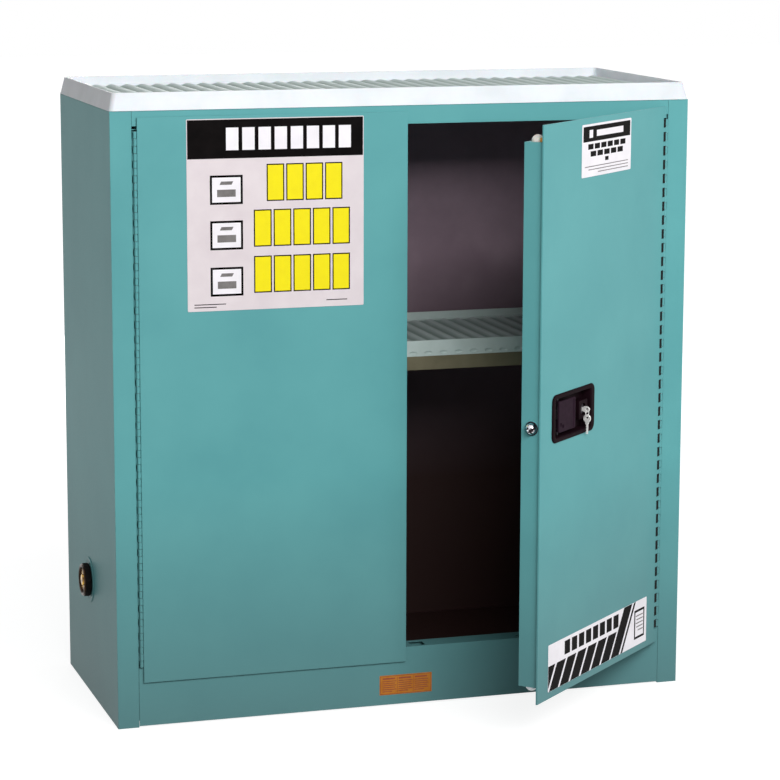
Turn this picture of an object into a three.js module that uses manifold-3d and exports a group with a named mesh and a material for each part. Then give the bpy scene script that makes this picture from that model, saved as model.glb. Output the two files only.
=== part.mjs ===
// Corrosive storage cabinet: a double-walled steel body with two hinged doors, a shelf and two trays.
// Millimetres, +Z up. X runs across the front, the front faces -Y, and the floor is Z = 0.
import * as THREE from 'three';
import { mergeVertices } from 'three/addons/utils/BufferGeometryUtils.js';
import Module from 'manifold-3d';

const wasm = await Module();
wasm.setup();

// Body
const cabinetWidth = 1092;
const cabinetDepth = 457;
const cabinetHeight = 1118;
const bodySheet = 1.2;
const wallThickness = 39;
const headerHeight = 33.5;
const sillHeight = 111;
const sillLift = 2.5;
const ledgeDepth = 42;
const ledgeLip = 14;
const drainRadius = 4;
const drainFromMiddle = 226;
const drainFromFront = 17;
const sumpDepth = 51;
const backFlange = 16;
const hoopWidth = 30;

// Facets of the round faces
const wideFacets = 24;
const boltFacets = 20;
const footFacets = 16;
const pinFacets = 12;
const smallFacets = 8;
const tinyFacets = 6;
const bezelSteps = 5;
const cornerSteps = 3;
const noseSteps = 6;

// Clearances
const seamGap = 0.4;
const seatGap = 0.3;
const overrun = 2;

// Levelling feet
const footRadius = 18;
const footPadHeight = 8;
const footStudRadius = 5;
const footStudHeight = 42;
const footFromEdge = 70;
const railWidth = 50;
const railHeight = 30;
const railSheet = 3;

// Hinges
const hingeInset = 5;
const hingeProud = 3;
const barrelRadius = 3.2;
const hingePinRadius = 1.4;
const leafThickness = 1.2;
const leafWidth = 28;
const knuckleLength = 74;
const hingeEndGap = 2;
const reliefWidth = 7;
const reliefHeight = 6.5;
const leafWebFromAxis = 2.4;

// Doors
const doorProud = 5;
const doorSheet = 1.2;
const doorMeetGap = 2.4;
const doorLapTop = 22;
const doorLapBottom = 26.5;
const doorLip = 3.4;
const doorEdgeGap = 0.5;
const panDepth = 40;
const panSheet = 1;
const panGapTop = 8.5;
const panGapBottom = 2.5;
const panInset = 4.8;
const stiffenerWidth = 60;
const stiffenerEndRoom = 30;
const stiffenerFromRecess = 66.8;
const rightDoorOpenDegrees = 42.5;

// Latch handle: a recessed tray, its paddle and the key lock
const handleHeight = 589;
const handleFromEdge = 125;
const bezelWidth = 166;
const bezelHeight = 86;
const bezelCorner = 14;
const bezelProud = 2.5;
const recessWidth = 132;
const recessHeight = 68;
const recessCorner = 6;
const recessDepth = 15;
const recessWall = 2;
const paddleWidth = 65;
const paddleHeight = 56;
const paddlePlate = 4;
const paddleFromRecessEdge = 12;
const paddleNotchWidth = 18;
const paddleNotchHeight = 8;
const paddleNotchFromEdge = 30;
const pivotFromPaddleEdge = 10;
const pivotDepth = 9.2;
const paddlePinRadius = 2.2;
const paddleEar = 5;
const earHalfWidth = 4;
const earReach = 3.4;
const springRadius = 3.9;
const springLength = 18;
const tailDepth = 22.5;
const tailThickness = 3;
const tailHeight = 16;
const bossWidth = 34;
const bossHeight = 34;
const bossDepth = 1;
const lockFromRecessEdge = 22.7;
const lockSink = 4.5;
const barrelLockRadius = 9.5;
const lockFlange = 0.9;
const lockLength = 26.5;
const plugRadius = 6.3;
const plugProud = 0.8;
const camThickness = 2.5;
const camReach = 22;
const camWidth = 9;
const camPinRadius = 1.95;
const keyThickness = 2;
const keyBowRadius = 7.5;
const keyBladeWidth = 5.6;
const keyBladeLength = 20.5;
const keyInset = 20;
const keyHoleRadius = 2;
const keyHoleOffset = 2.4;
const keyRingRadius = 6;
const keyRingWire = 0.65;
const tipBevel = 1.5;

// Three-point latch inside the right door
const rockerPivotFromPin = 5;
const rockerLayer = 27;
const rockerSheet = 3;
const rockerArm = 26;
const rockerHalfHeight = 7;
const rockerPinRadius = 3;
const drivePinRadius = 1.7;
const studRadius = 4;
const rodSheet = 3;
const rodGap = 0.4;
const rodWidth = 12;
const eyeHeight = 18;
const eyePlay = 0.9;
const boltFromEdge = 26;
const boltDepth = 25;
const boltRadius = 11;
const boltShankRadius = 7;
const boltReach = 12;
const boltLength = 30;
const boltSlotWidth = 27;
const boltSlotDepth = 25;
const bottomRodJog = 58;
const eyeSideShare = 0.2;
const bulletDrop = 10;
const bulletDepth = 19.5;
const bulletRadius = 10.5;
const bulletReach = 14;
const bulletStemRadius = 8;
const bulletStemLength = 26;
const collarWall = 2.6;
const collarHeight = 2.2;
const strikeClearance = 2;

// Shelf and its supports
const shelfTop = 649.4;
const shelfFlange = 25.7;
const shelfDepth = 356;
const shelfFromFront = 52;
const shelfEndGap = 3;
const standardWidth = 20;
const standardDepth = 6;
const standardSheet = 1.5;
const standardFromEnd = 45;
const standardEndRoom = 28;
const slotPitch = 64;
const slotWidth = 4;
const slotHeight = 14;
const bracketWidth = 16;
const bracketReach = 18;
const bracketDrop = 20;
const bracketSheet = 2;
const tongueHalfHeight = 3;

// Trays
const shelfTrayHeight = 28.2;
const topTrayHeight = 31.5;
const topTrayOverhang = 1;
const trayDraft = 7;
const trayWall = 3.5;
const trayFloor = 10;
const trayFoot = 14;
const ribPitch = 29.5;
const ribHeight = 5;
const ribBase = 22;
const ribCrest = 9;
const ribEndRoom = 14;

// Vents
const ventHeight = 221;
const ventFromFront = 247;
const highVentFromTop = 221;
const ventFlangeRadius = 43;
const ventFlangeThickness = 1.6;
const ventTubeRadius = 27;
const ventTubeWall = 3;
const ventCapRadius = 31.5;
const ventCapLength = 14;
const ventCapRim = 5;
const ventCapDish = 5;
const ventPlugLength = 12;

// Label plates
const plateThickness = 0.4;
const leftPlateWidth = 326;
const leftPlateHeight = 342;
const leftPlateFromEdge = 83.3;
const leftPlateFromTop = 5;
const upperPlateWidth = 199;
const upperPlateHeight = 93;
const upperPlateFromEdge = 145;
const upperPlateFromTop = 10.5;
const lowerPlateWidth = 409;
const lowerPlateHeight = 86;
const lowerPlateFromEdge = 40;
const lowerPlateFromBottom = 13;
const sillPlateWidth = 102;
const sillPlateHeight = 37.5;
const sillPlateFromFloor = 21.5;

// Places that follow the sizes above
const halfWidth = cabinetWidth / 2;
const front = -cabinetDepth / 2;
const back = cabinetDepth / 2;
const openingHalf = halfWidth - wallThickness;
const openingTop = cabinetHeight - headerHeight;
const bodyTop = cabinetHeight - bodySheet;
const ledgeBack = front + ledgeDepth;
const linerFront = ledgeBack + seatGap;
const linerBack = back - wallThickness;
const sumpFloor = sillHeight - sumpDepth;
const hingeX = openingHalf - hingeInset;
const hingeY = front - hingeProud;
const shelfHalf = openingHalf - standardDepth - shelfEndGap;
const shelfBottom = shelfTop - shelfFlange;
const shelfFront = front + shelfFromFront;
const shelfBack = shelfFront + shelfDepth;

// Places inside a door, from the hinge axis towards the free edge and from the skin's outer face inwards
const faceFromAxis = doorProud - hingeProud;
const skinStart = barrelRadius + doorEdgeGap;
const skinEnd = hingeX - doorMeetGap / 2;
const skinTop = openingTop + doorLapTop;
const skinBottom = sillHeight - doorLapBottom;
const panStart = barrelRadius + leafThickness + 2 * seatGap;
const panEnd = skinEnd - panInset;
const panTop = openingTop - panGapTop;
const panBottom = sillHeight + panGapBottom;
const panFloor = panDepth - panSheet;
const panFront = doorSheet + seatGap;
const handleCentre = skinEnd - handleFromEdge;
const recessStart = handleCentre - recessWidth / 2;
const recessEnd = handleCentre + recessWidth / 2;
const recessBack = recessDepth + recessWall;
const paddleEnd = recessEnd - paddleFromRecessEdge;
const paddleStart = paddleEnd - paddleWidth;
const pivotPlace = paddleEnd - pivotFromPaddleEdge;
const lockPlace = recessStart + lockFromRecessEdge;
const boltPlace = skinEnd - boltFromEdge;
const rockerPlace = pivotPlace - rockerPivotFromPin;
const tailLength = tailDepth - pivotDepth;
const drivePinPlace = pivotPlace - tailThickness / 2 - seatGap - drivePinRadius;
const drivePinHeight = handleHeight - tailLength;
const bulletHeight = handleHeight - bulletDrop;
const rodLayer = rockerLayer + rockerSheet + rodGap;

// Paints, metals and plastics
function finish(color, roughness, metalness) {
  return new THREE.MeshStandardMaterial({ color, roughness, metalness });
}
const paint = () => finish('#6db0b0', 0.42, 0.1);
const innerPaint = () => finish('#2f272b', 0.5, 0.1);
const zinc = () => finish('#a9adb0', 0.4, 0.8);
const darkSteel = () => finish('#4a4d50', 0.5, 0.8);
const chrome = () => finish('#d4d6d8', 0.12, 1);
const blackMetal = () => finish('#1e1b1d', 0.45, 0.3);
const blackPlastic = () => finish('#221d21', 0.5, 0);
const polyethylene = () => finish('#e9ecec', 0.45, 0);
const greySteel = () => finish('#77745f', 0.5, 0.3);
const whitePlate = () => finish('#f1eff0', 0.4, 0);
const orangePlate = () => finish('#e09433', 0.45, 0);

// Shapes
function outward(geometry) {
  const place = geometry.getAttribute('position');
  const listed = geometry.getIndex();
  const index = listed ? listed.array : Array.from({ length: place.count }, (_, i) => i);
  const [a, b, c] = [new THREE.Vector3(), new THREE.Vector3(), new THREE.Vector3()];
  let volume = 0;
  for (let i = 0; i < index.length; i += 3) {
    a.fromBufferAttribute(place, index[i]);
    b.fromBufferAttribute(place, index[i + 1]);
    c.fromBufferAttribute(place, index[i + 2]);
    volume += a.dot(b.cross(c));
  }
  if (volume > 0) return geometry;
  const turned = Array.from(index);
  for (let i = 0; i < turned.length; i += 3) [turned[i], turned[i + 1]] = [turned[i + 1], turned[i]];
  geometry.setIndex(turned);
  return geometry;
}

function solidOf(geometry) {
  const bare = new THREE.BufferGeometry();
  bare.setAttribute('position', geometry.getAttribute('position'));
  bare.setIndex(geometry.getIndex());
  const merged = mergeVertices(bare);
  const triVerts = new Uint32Array(merged.getIndex().array);
  return new wasm.Manifold(new wasm.Mesh({
    numProp: 3, vertProperties: new Float32Array(merged.getAttribute('position').array), triVerts,
  }));
}

function geometryOf(solid) {
  const mesh = solid.getMesh();
  const geometry = new THREE.BufferGeometry();
  geometry.setAttribute('position', new THREE.BufferAttribute(mesh.vertProperties, 3));
  geometry.setIndex(new THREE.BufferAttribute(mesh.triVerts, 1));
  return geometry;
}

const join = (...parts) => geometryOf(parts.map(solidOf).reduce((all, part) => all.add(part)));

function cut(base, ...tools) {
  return geometryOf(tools.map(solidOf).reduce((rest, tool) => rest.subtract(tool), solidOf(base)));
}

const around = (centre, size) => [centre - size / 2, centre + size / 2];

function box(x, y, z) {
  const geometry = new THREE.BoxGeometry(x[1] - x[0], y[1] - y[0], z[1] - z[0]);
  return geometry.translate((x[0] + x[1]) / 2, (y[0] + y[1]) / 2, (z[0] + z[1]) / 2);
}

const outline = (points) => new THREE.Shape(points.map(([u, v]) => new THREE.Vector2(u, v)));

// An outline in X and Y, drawn along Z
function prismZ(shape, z) {
  return new THREE.ExtrudeGeometry(shape, { depth: z[1] - z[0], bevelEnabled: false }).translate(0, 0, z[0]);
}

// An outline in Y and Z, drawn along X
function prismX(shape, x) {
  const geometry = new THREE.ExtrudeGeometry(shape, { depth: x[1] - x[0], bevelEnabled: false });
  const turn = new THREE.Matrix4().makeBasis(
    new THREE.Vector3(0, 1, 0), new THREE.Vector3(0, 0, 1), new THREE.Vector3(1, 0, 0));
  return geometry.applyMatrix4(turn).translate(x[0], 0, 0);
}

// An outline in X and Z, drawn along Y
function prismY(shape, y) {
  const geometry = new THREE.ExtrudeGeometry(shape, { depth: y[1] - y[0], bevelEnabled: false });
  return geometry.rotateX(Math.PI / 2).translate(0, y[1], 0);
}

function circle(u, v, radius, sides) {
  return Array.from({ length: sides }, (_, i) => {
    const angle = (i + 0.5) / sides * 2 * Math.PI;
    return [u + radius * Math.cos(angle), v + radius * Math.sin(angle)];
  });
}

function roundedRectangle(u, v, width, height, corner, steps) {
  const points = [];
  const corners = [[1, 1], [-1, 1], [-1, -1], [1, -1]];
  corners.forEach(([du, dv], quarter) => {
    for (let i = 0; i <= steps; i += 1) {
      const angle = (quarter + i / steps) * Math.PI / 2;
      points.push([
        u + du * (width / 2 - corner) + corner * Math.cos(angle),
        v + dv * (height / 2 - corner) + corner * Math.sin(angle),
      ]);
    }
  });
  return outline(points);
}

// A turned shape about Z, from a profile of radius and height that starts and ends on the axis
function turned(profile, sides) {
  const points = profile.map(([radius, height]) => new THREE.Vector2(radius, height));
  return outward(new THREE.LatheGeometry(points, sides).rotateX(Math.PI / 2));
}

const turnedAlongX = (profile, sides) => turned(profile, sides).rotateY(Math.PI / 2);

const mirrored = (geometry) => outward(geometry.clone().scale(-1, 1, 1));

// The same outline for the right half (1) or the left half (-1)
const onSide = (side, geometry) => (side < 0 ? mirrored(geometry) : geometry);

function add(group, name, geometry, material) {
  const mesh = new THREE.Mesh(geometry, material);
  mesh.name = name;
  group.add(mesh);
  return mesh;
}

const cabinet = new THREE.Group();

// Outer body
const fittingHole = ventTubeRadius + seatGap;
const vents = [
  { name: 'vent_left', side: -1, height: ventHeight },
  { name: 'vent_right', side: 1, height: cabinetHeight - highVentFromTop },
];
const ventY = front + ventFromFront;

function sidePanel(side, height) {
  const profile = outline([
    [openingHalf, ledgeBack], [openingHalf, front], [halfWidth, front], [halfWidth, back - bodySheet],
    [halfWidth - backFlange, back - bodySheet], [halfWidth - backFlange, back - 2 * bodySheet],
    [halfWidth - bodySheet, back - 2 * bodySheet], [halfWidth - bodySheet, front + bodySheet],
    [openingHalf + bodySheet, front + bodySheet], [openingHalf + bodySheet, ledgeBack],
  ]);
  const hole = prismX(outline(circle(ventY, height, fittingHole, wideFacets)),
    [halfWidth - bodySheet - overrun, halfWidth + overrun]);
  return onSide(side, cut(prismZ(profile, [0, bodyTop]), hole));
}

add(cabinet, 'side_panel_left', sidePanel(-1, vents[0].height), paint());
add(cabinet, 'side_panel_right', sidePanel(1, vents[1].height), paint());
add(cabinet, 'back_panel', box([-halfWidth, halfWidth], [back - bodySheet, back], [0, bodyTop]), paint());
add(cabinet, 'top_panel', box([-halfWidth, halfWidth], [front, back], [bodyTop, cabinetHeight]), paint());

// Front rails, each a channel with a ledge that faces the opening and a slot for a latch bolt
const railSpan = [-openingHalf + seamGap, openingHalf - seamGap];
const slotCentre = hingeX - boltPlace;
const slotY = front - doorProud + boltDepth;

function railProfile(face, ledge, inwards) {
  return outline([
    [front, face], [front, ledge], [ledgeBack, ledge], [ledgeBack, ledge + inwards * ledgeLip],
    [ledgeBack - bodySheet, ledge + inwards * ledgeLip], [ledgeBack - bodySheet, ledge + inwards * bodySheet],
    [front + bodySheet, ledge + inwards * bodySheet], [front + bodySheet, face],
  ]);
}

const boltSlot = (ledge) => box(around(slotCentre, boltSlotWidth), around(slotY, boltSlotDepth),
  [ledge - overrun, ledge + overrun]);

// A relief over each hinge's barrel, at the ends of the upper rail
const reliefs = [-1, 1].map((side) => onSide(side, box(
  [hingeX - reliefWidth / 2, openingHalf + overrun], [front - overrun, front + bodySheet + overrun],
  [openingTop - overrun, openingTop + reliefHeight])));
const drain = prismZ(outline(circle(drainFromMiddle, front + drainFromFront, drainRadius, pinFacets)),
  [sillHeight - overrun, sillHeight + overrun]);

add(cabinet, 'header_rail',
  cut(prismX(railProfile(bodyTop, openingTop, 1), railSpan), boltSlot(openingTop), ...reliefs), paint());
add(cabinet, 'sill_rail',
  cut(prismX(railProfile(sillLift, sillHeight, -1), railSpan), boltSlot(sillHeight), drain), paint());
add(cabinet, 'sill_plate', box(around(0, sillPlateWidth), [front - plateThickness, front],
  [sillPlateFromFloor, sillPlateFromFloor + sillPlateHeight]), orangePlate());

// Base with four foot holes
const footX = halfWidth - footFromEdge;
const footY = back - footFromEdge;
const footCorners = [[-1, -1], [1, -1], [-1, 1], [1, 1]];
const footHoles = footCorners.map(([i, j]) => prismZ(
  outline(circle(i * footX, j * footY, footRadius + overrun, footFacets)), [-overrun, bodySheet + overrun]));
function footRail(row) {
  const y = around(row * footY, railWidth);
  const x = [-openingHalf, openingHalf];
  const block = box(x, y, [0, railHeight]);
  const under = box([x[0] - overrun, x[1] + overrun], [y[0] + railSheet, y[1] - railSheet],
    [bodySheet, railHeight - railSheet]);
  return cut(block, under);
}
const studHoles = footCorners.map(([i, j]) => prismZ(
  outline(circle(i * footX, j * footY, footStudRadius + seatGap, pinFacets)), [0, railHeight + overrun]));
add(cabinet, 'base_pan', cut(join(
  box([-halfWidth + bodySheet, halfWidth - bodySheet], [linerFront, back - 2 * bodySheet], [0, bodySheet]),
  footRail(-1), footRail(1),
), ...footHoles, ...studHoles), paint());

const footNames = ['foot_front_left', 'foot_front_right', 'foot_back_left', 'foot_back_right'];
footCorners.forEach(([i, j], n) => {
  const profile = [
    [0, seatGap], [footRadius - tipBevel, seatGap], [footRadius, seatGap + tipBevel],
    [footRadius, footPadHeight - tipBevel], [footStudRadius, footPadHeight], [footStudRadius, footStudHeight],
    [0, footStudHeight],
  ];
  add(cabinet, footNames[n], turned(profile, footFacets).translate(i * footX, j * footY, 0), darkSteel());
});

// Inner liner and the spill sump
const linerZ = [sumpFloor, openingTop];
for (const side of [-1, 1]) {
  const wall = box([openingHalf, openingHalf + bodySheet], [linerFront, linerBack + bodySheet], linerZ);
  const vent = vents.find((each) => each.side === side);
  const hole = prismX(outline(circle(ventY, vent.height, fittingHole, wideFacets)),
    [openingHalf - overrun, openingHalf + bodySheet + overrun]);
  add(cabinet, side < 0 ? 'liner_left' : 'liner_right', onSide(side, cut(wall, hole)), innerPaint());
}
add(cabinet, 'liner_back', box([-openingHalf, openingHalf], [linerBack, linerBack + bodySheet], linerZ),
  innerPaint());
add(cabinet, 'liner_top', box([-openingHalf - bodySheet, openingHalf + bodySheet],
  [linerFront, linerBack + bodySheet], [openingTop, openingTop + bodySheet]), innerPaint());
add(cabinet, 'sump_pan', join(
  box([-openingHalf - bodySheet, openingHalf + bodySheet], [linerFront, linerBack + bodySheet],
    [sumpFloor - bodySheet, sumpFloor]),
  box([-openingHalf, openingHalf], [linerFront, linerFront + bodySheet], [sumpFloor - bodySheet, sillHeight]),
), innerPaint());

// Welded frame in the gap between the walls: two hoops of channel that a bar joins, under the sump too
const hoopShares = [0.3, 0.75];
const hoopGap = {
  x: [openingHalf + bodySheet, halfWidth - bodySheet],
  low: [bodySheet, sumpFloor - bodySheet],
  high: [openingTop + bodySheet, bodyTop],
};

function ring(inset) {
  const [x0, x1] = [hoopGap.x[0] + inset, hoopGap.x[1] - inset];
  const shape = outline([[-x1, hoopGap.low[0] + inset], [x1, hoopGap.low[0] + inset],
    [x1, hoopGap.high[1] - inset], [-x1, hoopGap.high[1] - inset]]);
  shape.holes.push(outline([[-x0, hoopGap.low[1] - inset], [x0, hoopGap.low[1] - inset],
    [x0, hoopGap.high[0] + inset], [-x0, hoopGap.high[0] + inset]]));
  return shape;
}

const hoopY = hoopShares.map((share) => linerFront + share * (linerBack - linerFront));
const hoop = (y) => cut(prismY(ring(0), around(y, hoopWidth)),
  prismY(ring(bodySheet), [y - hoopWidth / 2 + bodySheet, y + hoopWidth / 2 + overrun]));
const hoopBar = prismY(outline([
  [-hoopWidth / 2, hoopGap.high[0]], [-hoopWidth / 2, hoopGap.high[1]], [hoopWidth / 2, hoopGap.high[1]],
  [hoopWidth / 2, hoopGap.high[0]], [hoopWidth / 2 - bodySheet, hoopGap.high[0]],
  [hoopWidth / 2 - bodySheet, hoopGap.high[1] - bodySheet],
  [-hoopWidth / 2 + bodySheet, hoopGap.high[1] - bodySheet],
  [-hoopWidth / 2 + bodySheet, hoopGap.high[0]],
]), [hoopY[0], hoopY[1]]);
add(cabinet, 'wall_frame', join(...hoopY.map(hoop), hoopBar), zinc());

// Vents: a flanged fitting through both walls and a cap that screws into it
const ventTubeLength = wallThickness + ventFlangeThickness;
for (const vent of vents) {
  const bore = ventTubeRadius - ventTubeWall;
  const fitting = turnedAlongX([
    [bore, 0], [ventTubeRadius, 0], [ventTubeRadius, wallThickness + seatGap],
    [ventFlangeRadius, wallThickness + seatGap], [ventFlangeRadius - tipBevel, ventTubeLength + seatGap],
    [bore, ventTubeLength + seatGap], [bore, 0],
  ], wideFacets);
  const capStart = ventTubeLength + 2 * seatGap;
  const capEnd = capStart + ventCapLength;
  const cap = turnedAlongX([
    [0, capStart - ventPlugLength], [bore - seatGap, capStart - ventPlugLength], [bore - seatGap, capStart],
    [ventCapRadius, capStart], [ventCapRadius, capEnd - tipBevel], [ventCapRadius - tipBevel, capEnd],
    [ventCapRadius - ventCapRim, capEnd], [ventCapRadius - ventCapRim - tipBevel, capEnd - ventCapDish],
    [0, capEnd - ventCapDish],
  ], wideFacets);
  const seat = (geometry) => onSide(vent.side, geometry.translate(openingHalf, ventY, vent.height));
  add(cabinet, `${vent.name}_fitting`, seat(fitting), paint());
  add(cabinet, `${vent.name}_cap`, seat(cap), chrome());
}

// Slotted standards, and a ledge on each side that hooks into two of them and carries the shelf
const standardY = [linerFront + standardFromEnd, linerBack - standardFromEnd];
const standardZ = [sillHeight + standardEndRoom, openingTop - standardEndRoom];
const bracketSlotZ = shelfBottom - bracketDrop / 2;
const slotCentres = [];
const firstSlot = Math.ceil((standardZ[0] + slotHeight - bracketSlotZ) / slotPitch);
const lastSlot = Math.floor((standardZ[1] - slotHeight - bracketSlotZ) / slotPitch);
for (let k = firstSlot; k <= lastSlot; k += 1) slotCentres.push(bracketSlotZ + k * slotPitch);

function standard(y) {
  const [x0, x1] = [openingHalf - standardDepth, openingHalf];
  const half = standardWidth / 2;
  const strip = prismZ(outline([
    [x0, y - half], [x1, y - half], [x1, y - half + standardSheet],
    [x0 + standardSheet, y - half + standardSheet], [x0 + standardSheet, y + half - standardSheet],
    [x1, y + half - standardSheet], [x1, y + half], [x0, y + half],
  ]), standardZ);
  const slots = slotCentres.map((z) => box([x0 - overrun, x0 + standardSheet + overrun],
    around(y, slotWidth), around(z, slotHeight)));
  return cut(strip, ...slots);
}

function ledge() {
  const face = openingHalf - standardDepth;
  const y = [standardY[0] - bracketWidth / 2, standardY[1] + bracketWidth / 2];
  const tongue = (place) => box([face - seatGap - bracketSheet, face + standardSheet + overrun],
    around(place, slotWidth - 2 * seatGap), around(bracketSlotZ, 2 * tongueHalfHeight));
  return join(
    box([face - seatGap - bracketSheet, face - seatGap], y, [shelfBottom - bracketDrop, shelfBottom]),
    box([face - bracketReach, face - seatGap], y, [shelfBottom - bracketSheet, shelfBottom]),
    ...standardY.map(tongue),
  );
}

for (const [side, name] of [[-1, 'left'], [1, 'right']]) {
  standardY.forEach((y, row) => {
    add(cabinet, `standard_${name}_${row ? 'back' : 'front'}`, onSide(side, standard(y)), zinc());
  });
  add(cabinet, `shelf_ledge_${name}`, onSide(side, ledge()), zinc());
}

// Shelf: a sheet with flanges turned down
const shelfBox = (inset, z) => box([-shelfHalf + inset, shelfHalf - inset],
  [shelfFront + inset, shelfBack - inset], z);
add(cabinet, 'shelf', cut(shelfBox(0, [shelfBottom, shelfTop]),
  shelfBox(bodySheet, [shelfBottom - overrun, shelfTop - bodySheet])), greySteel());

// Trays: drafted walls round a floor with ribs that run from front to back
function frustum(half, y, z, draft) {
  const geometry = box([-half, half], y, z);
  const place = geometry.getAttribute('position');
  const middle = (y[0] + y[1]) / 2;
  for (let i = 0; i < place.count; i += 1) {
    if (place.getZ(i) > (z[0] + z[1]) / 2) {
      place.setX(i, place.getX(i) - Math.sign(place.getX(i)) * draft);
      place.setY(i, place.getY(i) - Math.sign(place.getY(i) - middle) * draft);
    }
  }
  return geometry;
}

function ribbedTray(half, y, z) {
  const outer = frustum(half, y, z, trayDraft);
  const innerHalf = half - trayWall;
  const inner = [y[0] + trayWall, y[1] - trayWall];
  const slope = trayDraft / (z[1] - z[0]);
  const rise = z[1] + overrun - z[0] - trayFloor;
  const inset = slope * trayFloor;
  const hollow = frustum(innerHalf - inset, [inner[0] + inset, inner[1] - inset],
    [z[0] + trayFloor, z[1] + overrun], slope * rise);
  const count = Math.floor((2 * (half - trayWall - ribEndRoom) - ribBase) / ribPitch) + 1;
  const floor = z[0] + trayFloor;
  const points = [[-half + trayWall + trayDraft, floor - trayWall / 2]];
  for (let i = 0; i < count; i += 1) {
    const x = (i - (count - 1) / 2) * ribPitch;
    points.push([x - ribBase / 2, floor], [x - ribCrest / 2, floor + ribHeight],
      [x + ribCrest / 2, floor + ribHeight], [x + ribBase / 2, floor]);
  }
  points.push([half - trayWall - trayDraft, floor - trayWall / 2]);
  const ribs = prismY(outline(points), [inner[0] + ribEndRoom, inner[1] - ribEndRoom]);
  const underside = box([-half + trayFoot, half - trayFoot], [y[0] + trayFoot, y[1] - trayFoot],
    [z[0] - overrun, floor - trayWall]);
  return join(cut(outer, hollow, underside), ribs);
}

add(cabinet, 'shelf_tray',
  ribbedTray(shelfHalf, [shelfFront, shelfBack], [shelfTop, shelfTop + shelfTrayHeight]), polyethylene());
const topTrayY = [front - topTrayOverhang, back + topTrayOverhang];
add(cabinet, 'top_tray', ribbedTray(halfWidth + topTrayOverhang, topTrayY,
  [cabinetHeight, cabinetHeight + topTrayHeight]), polyethylene());

// Piano hinges: a fixed leaf on each jamb, a leaf on each door, and one long pin
const hingeZ = [sillHeight + hingeEndGap, openingTop - hingeEndGap];
const knuckleCount = 2 * Math.round((hingeZ[1] - hingeZ[0]) / knuckleLength / 2) + 1;
const knucklePitch = (hingeZ[1] - hingeZ[0]) / knuckleCount;

function knuckles(isFixed, web) {
  const parts = [];
  for (let i = isFixed ? 0 : 1; i < knuckleCount; i += 2) {
    const z = [hingeZ[0] + i * knucklePitch + seatGap / 2, hingeZ[0] + (i + 1) * knucklePitch - seatGap / 2];
    const ring = outline(circle(0, 0, barrelRadius, smallFacets));
    const bore = outline(circle(0, 0, hingePinRadius + seatGap, tinyFacets));
    parts.push(cut(join(prismZ(ring, z), web(z)), prismZ(bore, [z[0] - overrun, z[1] + overrun])));
  }
  return parts;
}

// Hinge leaves in a frame with the pin at its origin and X towards the free edge
const fixedLeafX = [seatGap - hingeInset, seatGap + leafThickness - hingeInset];
const leafY = [leafWebFromAxis, leafWebFromAxis + leafWidth];
const fixedWeb = (z) => box([fixedLeafX[0], 0], [leafWebFromAxis, leafWebFromAxis + leafThickness], z);
const fixedLeaf = () => join(box(fixedLeafX, leafY, hingeZ), ...knuckles(true, fixedWeb));

const swingLeafX = [barrelRadius + seatGap, barrelRadius + seatGap + leafThickness];
const swingLeafY = [doorSheet + seatGap - faceFromAxis, leafY[1]];
const swingWeb = (z) => box([barrelRadius / 2, swingLeafX[1]],
  [swingLeafY[0], swingLeafY[0] + leafThickness], z);
const swingLeaf = () => join(box(swingLeafX, swingLeafY, hingeZ), ...knuckles(false, swingWeb));

// A door group stands on its hinge axis. X of its pieces runs from the axis towards the free edge.
function hingedGroup(side) {
  const group = new THREE.Group();
  group.position.set(side * hingeX, hingeY, 0);
  cabinet.add(group);
  return group;
}
const leftDoor = hingedGroup(-1);
const rightDoor = hingedGroup(1);
rightDoor.rotation.z = THREE.MathUtils.degToRad(rightDoorOpenDegrees);
const doorGroups = [
  { name: 'left', side: -1, swing: leftDoor },
  { name: 'right', side: 1, swing: rightDoor },
];

for (const { name, side, swing } of doorGroups) {
  const still = hingedGroup(side);
  add(still, `${name}_hinge_fixed_leaf`, onSide(-side, fixedLeaf()), paint());
  add(still, `${name}_hinge_pin`, prismZ(outline(circle(0, 0, hingePinRadius, tinyFacets)), hingeZ), zinc());
  add(swing, `${name}_hinge_door_leaf`, onSide(-side, swingLeaf()), paint());
}

// Door pieces take X from the hinge axis and Y from the skin's outer face, inwards
const inDoor = (side, geometry) => onSide(-side, geometry.translate(0, -faceFromAxis, 0));

function doorSkin(...holes) {
  const shell = box([skinStart, skinEnd], [0, doorLip], [skinBottom, skinTop]);
  const hollow = box([skinStart - overrun, skinEnd - doorSheet], [doorSheet, doorLip + overrun],
    [skinBottom + doorSheet, skinTop - doorSheet]);
  return cut(shell, hollow, ...holes);
}

function doorPan(...holes) {
  const shell = box([panStart, panEnd], [panFront, panDepth], [panBottom, panTop]);
  const hollow = box([panStart + panSheet, panEnd - panSheet], [panFront - overrun, panFloor],
    [panBottom + panSheet, panTop - panSheet]);
  return cut(shell, hollow, ...holes);
}

function doorStiffener() {
  const [d0, d1] = [panFront, panFloor - seatGap];
  const s1 = recessStart - stiffenerFromRecess;
  const s0 = s1 - stiffenerWidth;
  return prismZ(outline([
    [s0, d0], [s0 + doorSheet, d0], [s0 + doorSheet, d1 - doorSheet], [s1 - doorSheet, d1 - doorSheet],
    [s1 - doorSheet, d0], [s1, d0], [s1, d1], [s0, d1],
  ]), [panBottom + stiffenerEndRoom, panTop - stiffenerEndRoom]);
}

// A plate on the skin, placed from the free edge and from the top or bottom edge
const doorPlate = (fromEdge, width, z) => box([skinEnd - fromEdge - width, skinEnd - fromEdge],
  [-seatGap - plateThickness, -seatGap], z);

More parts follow.
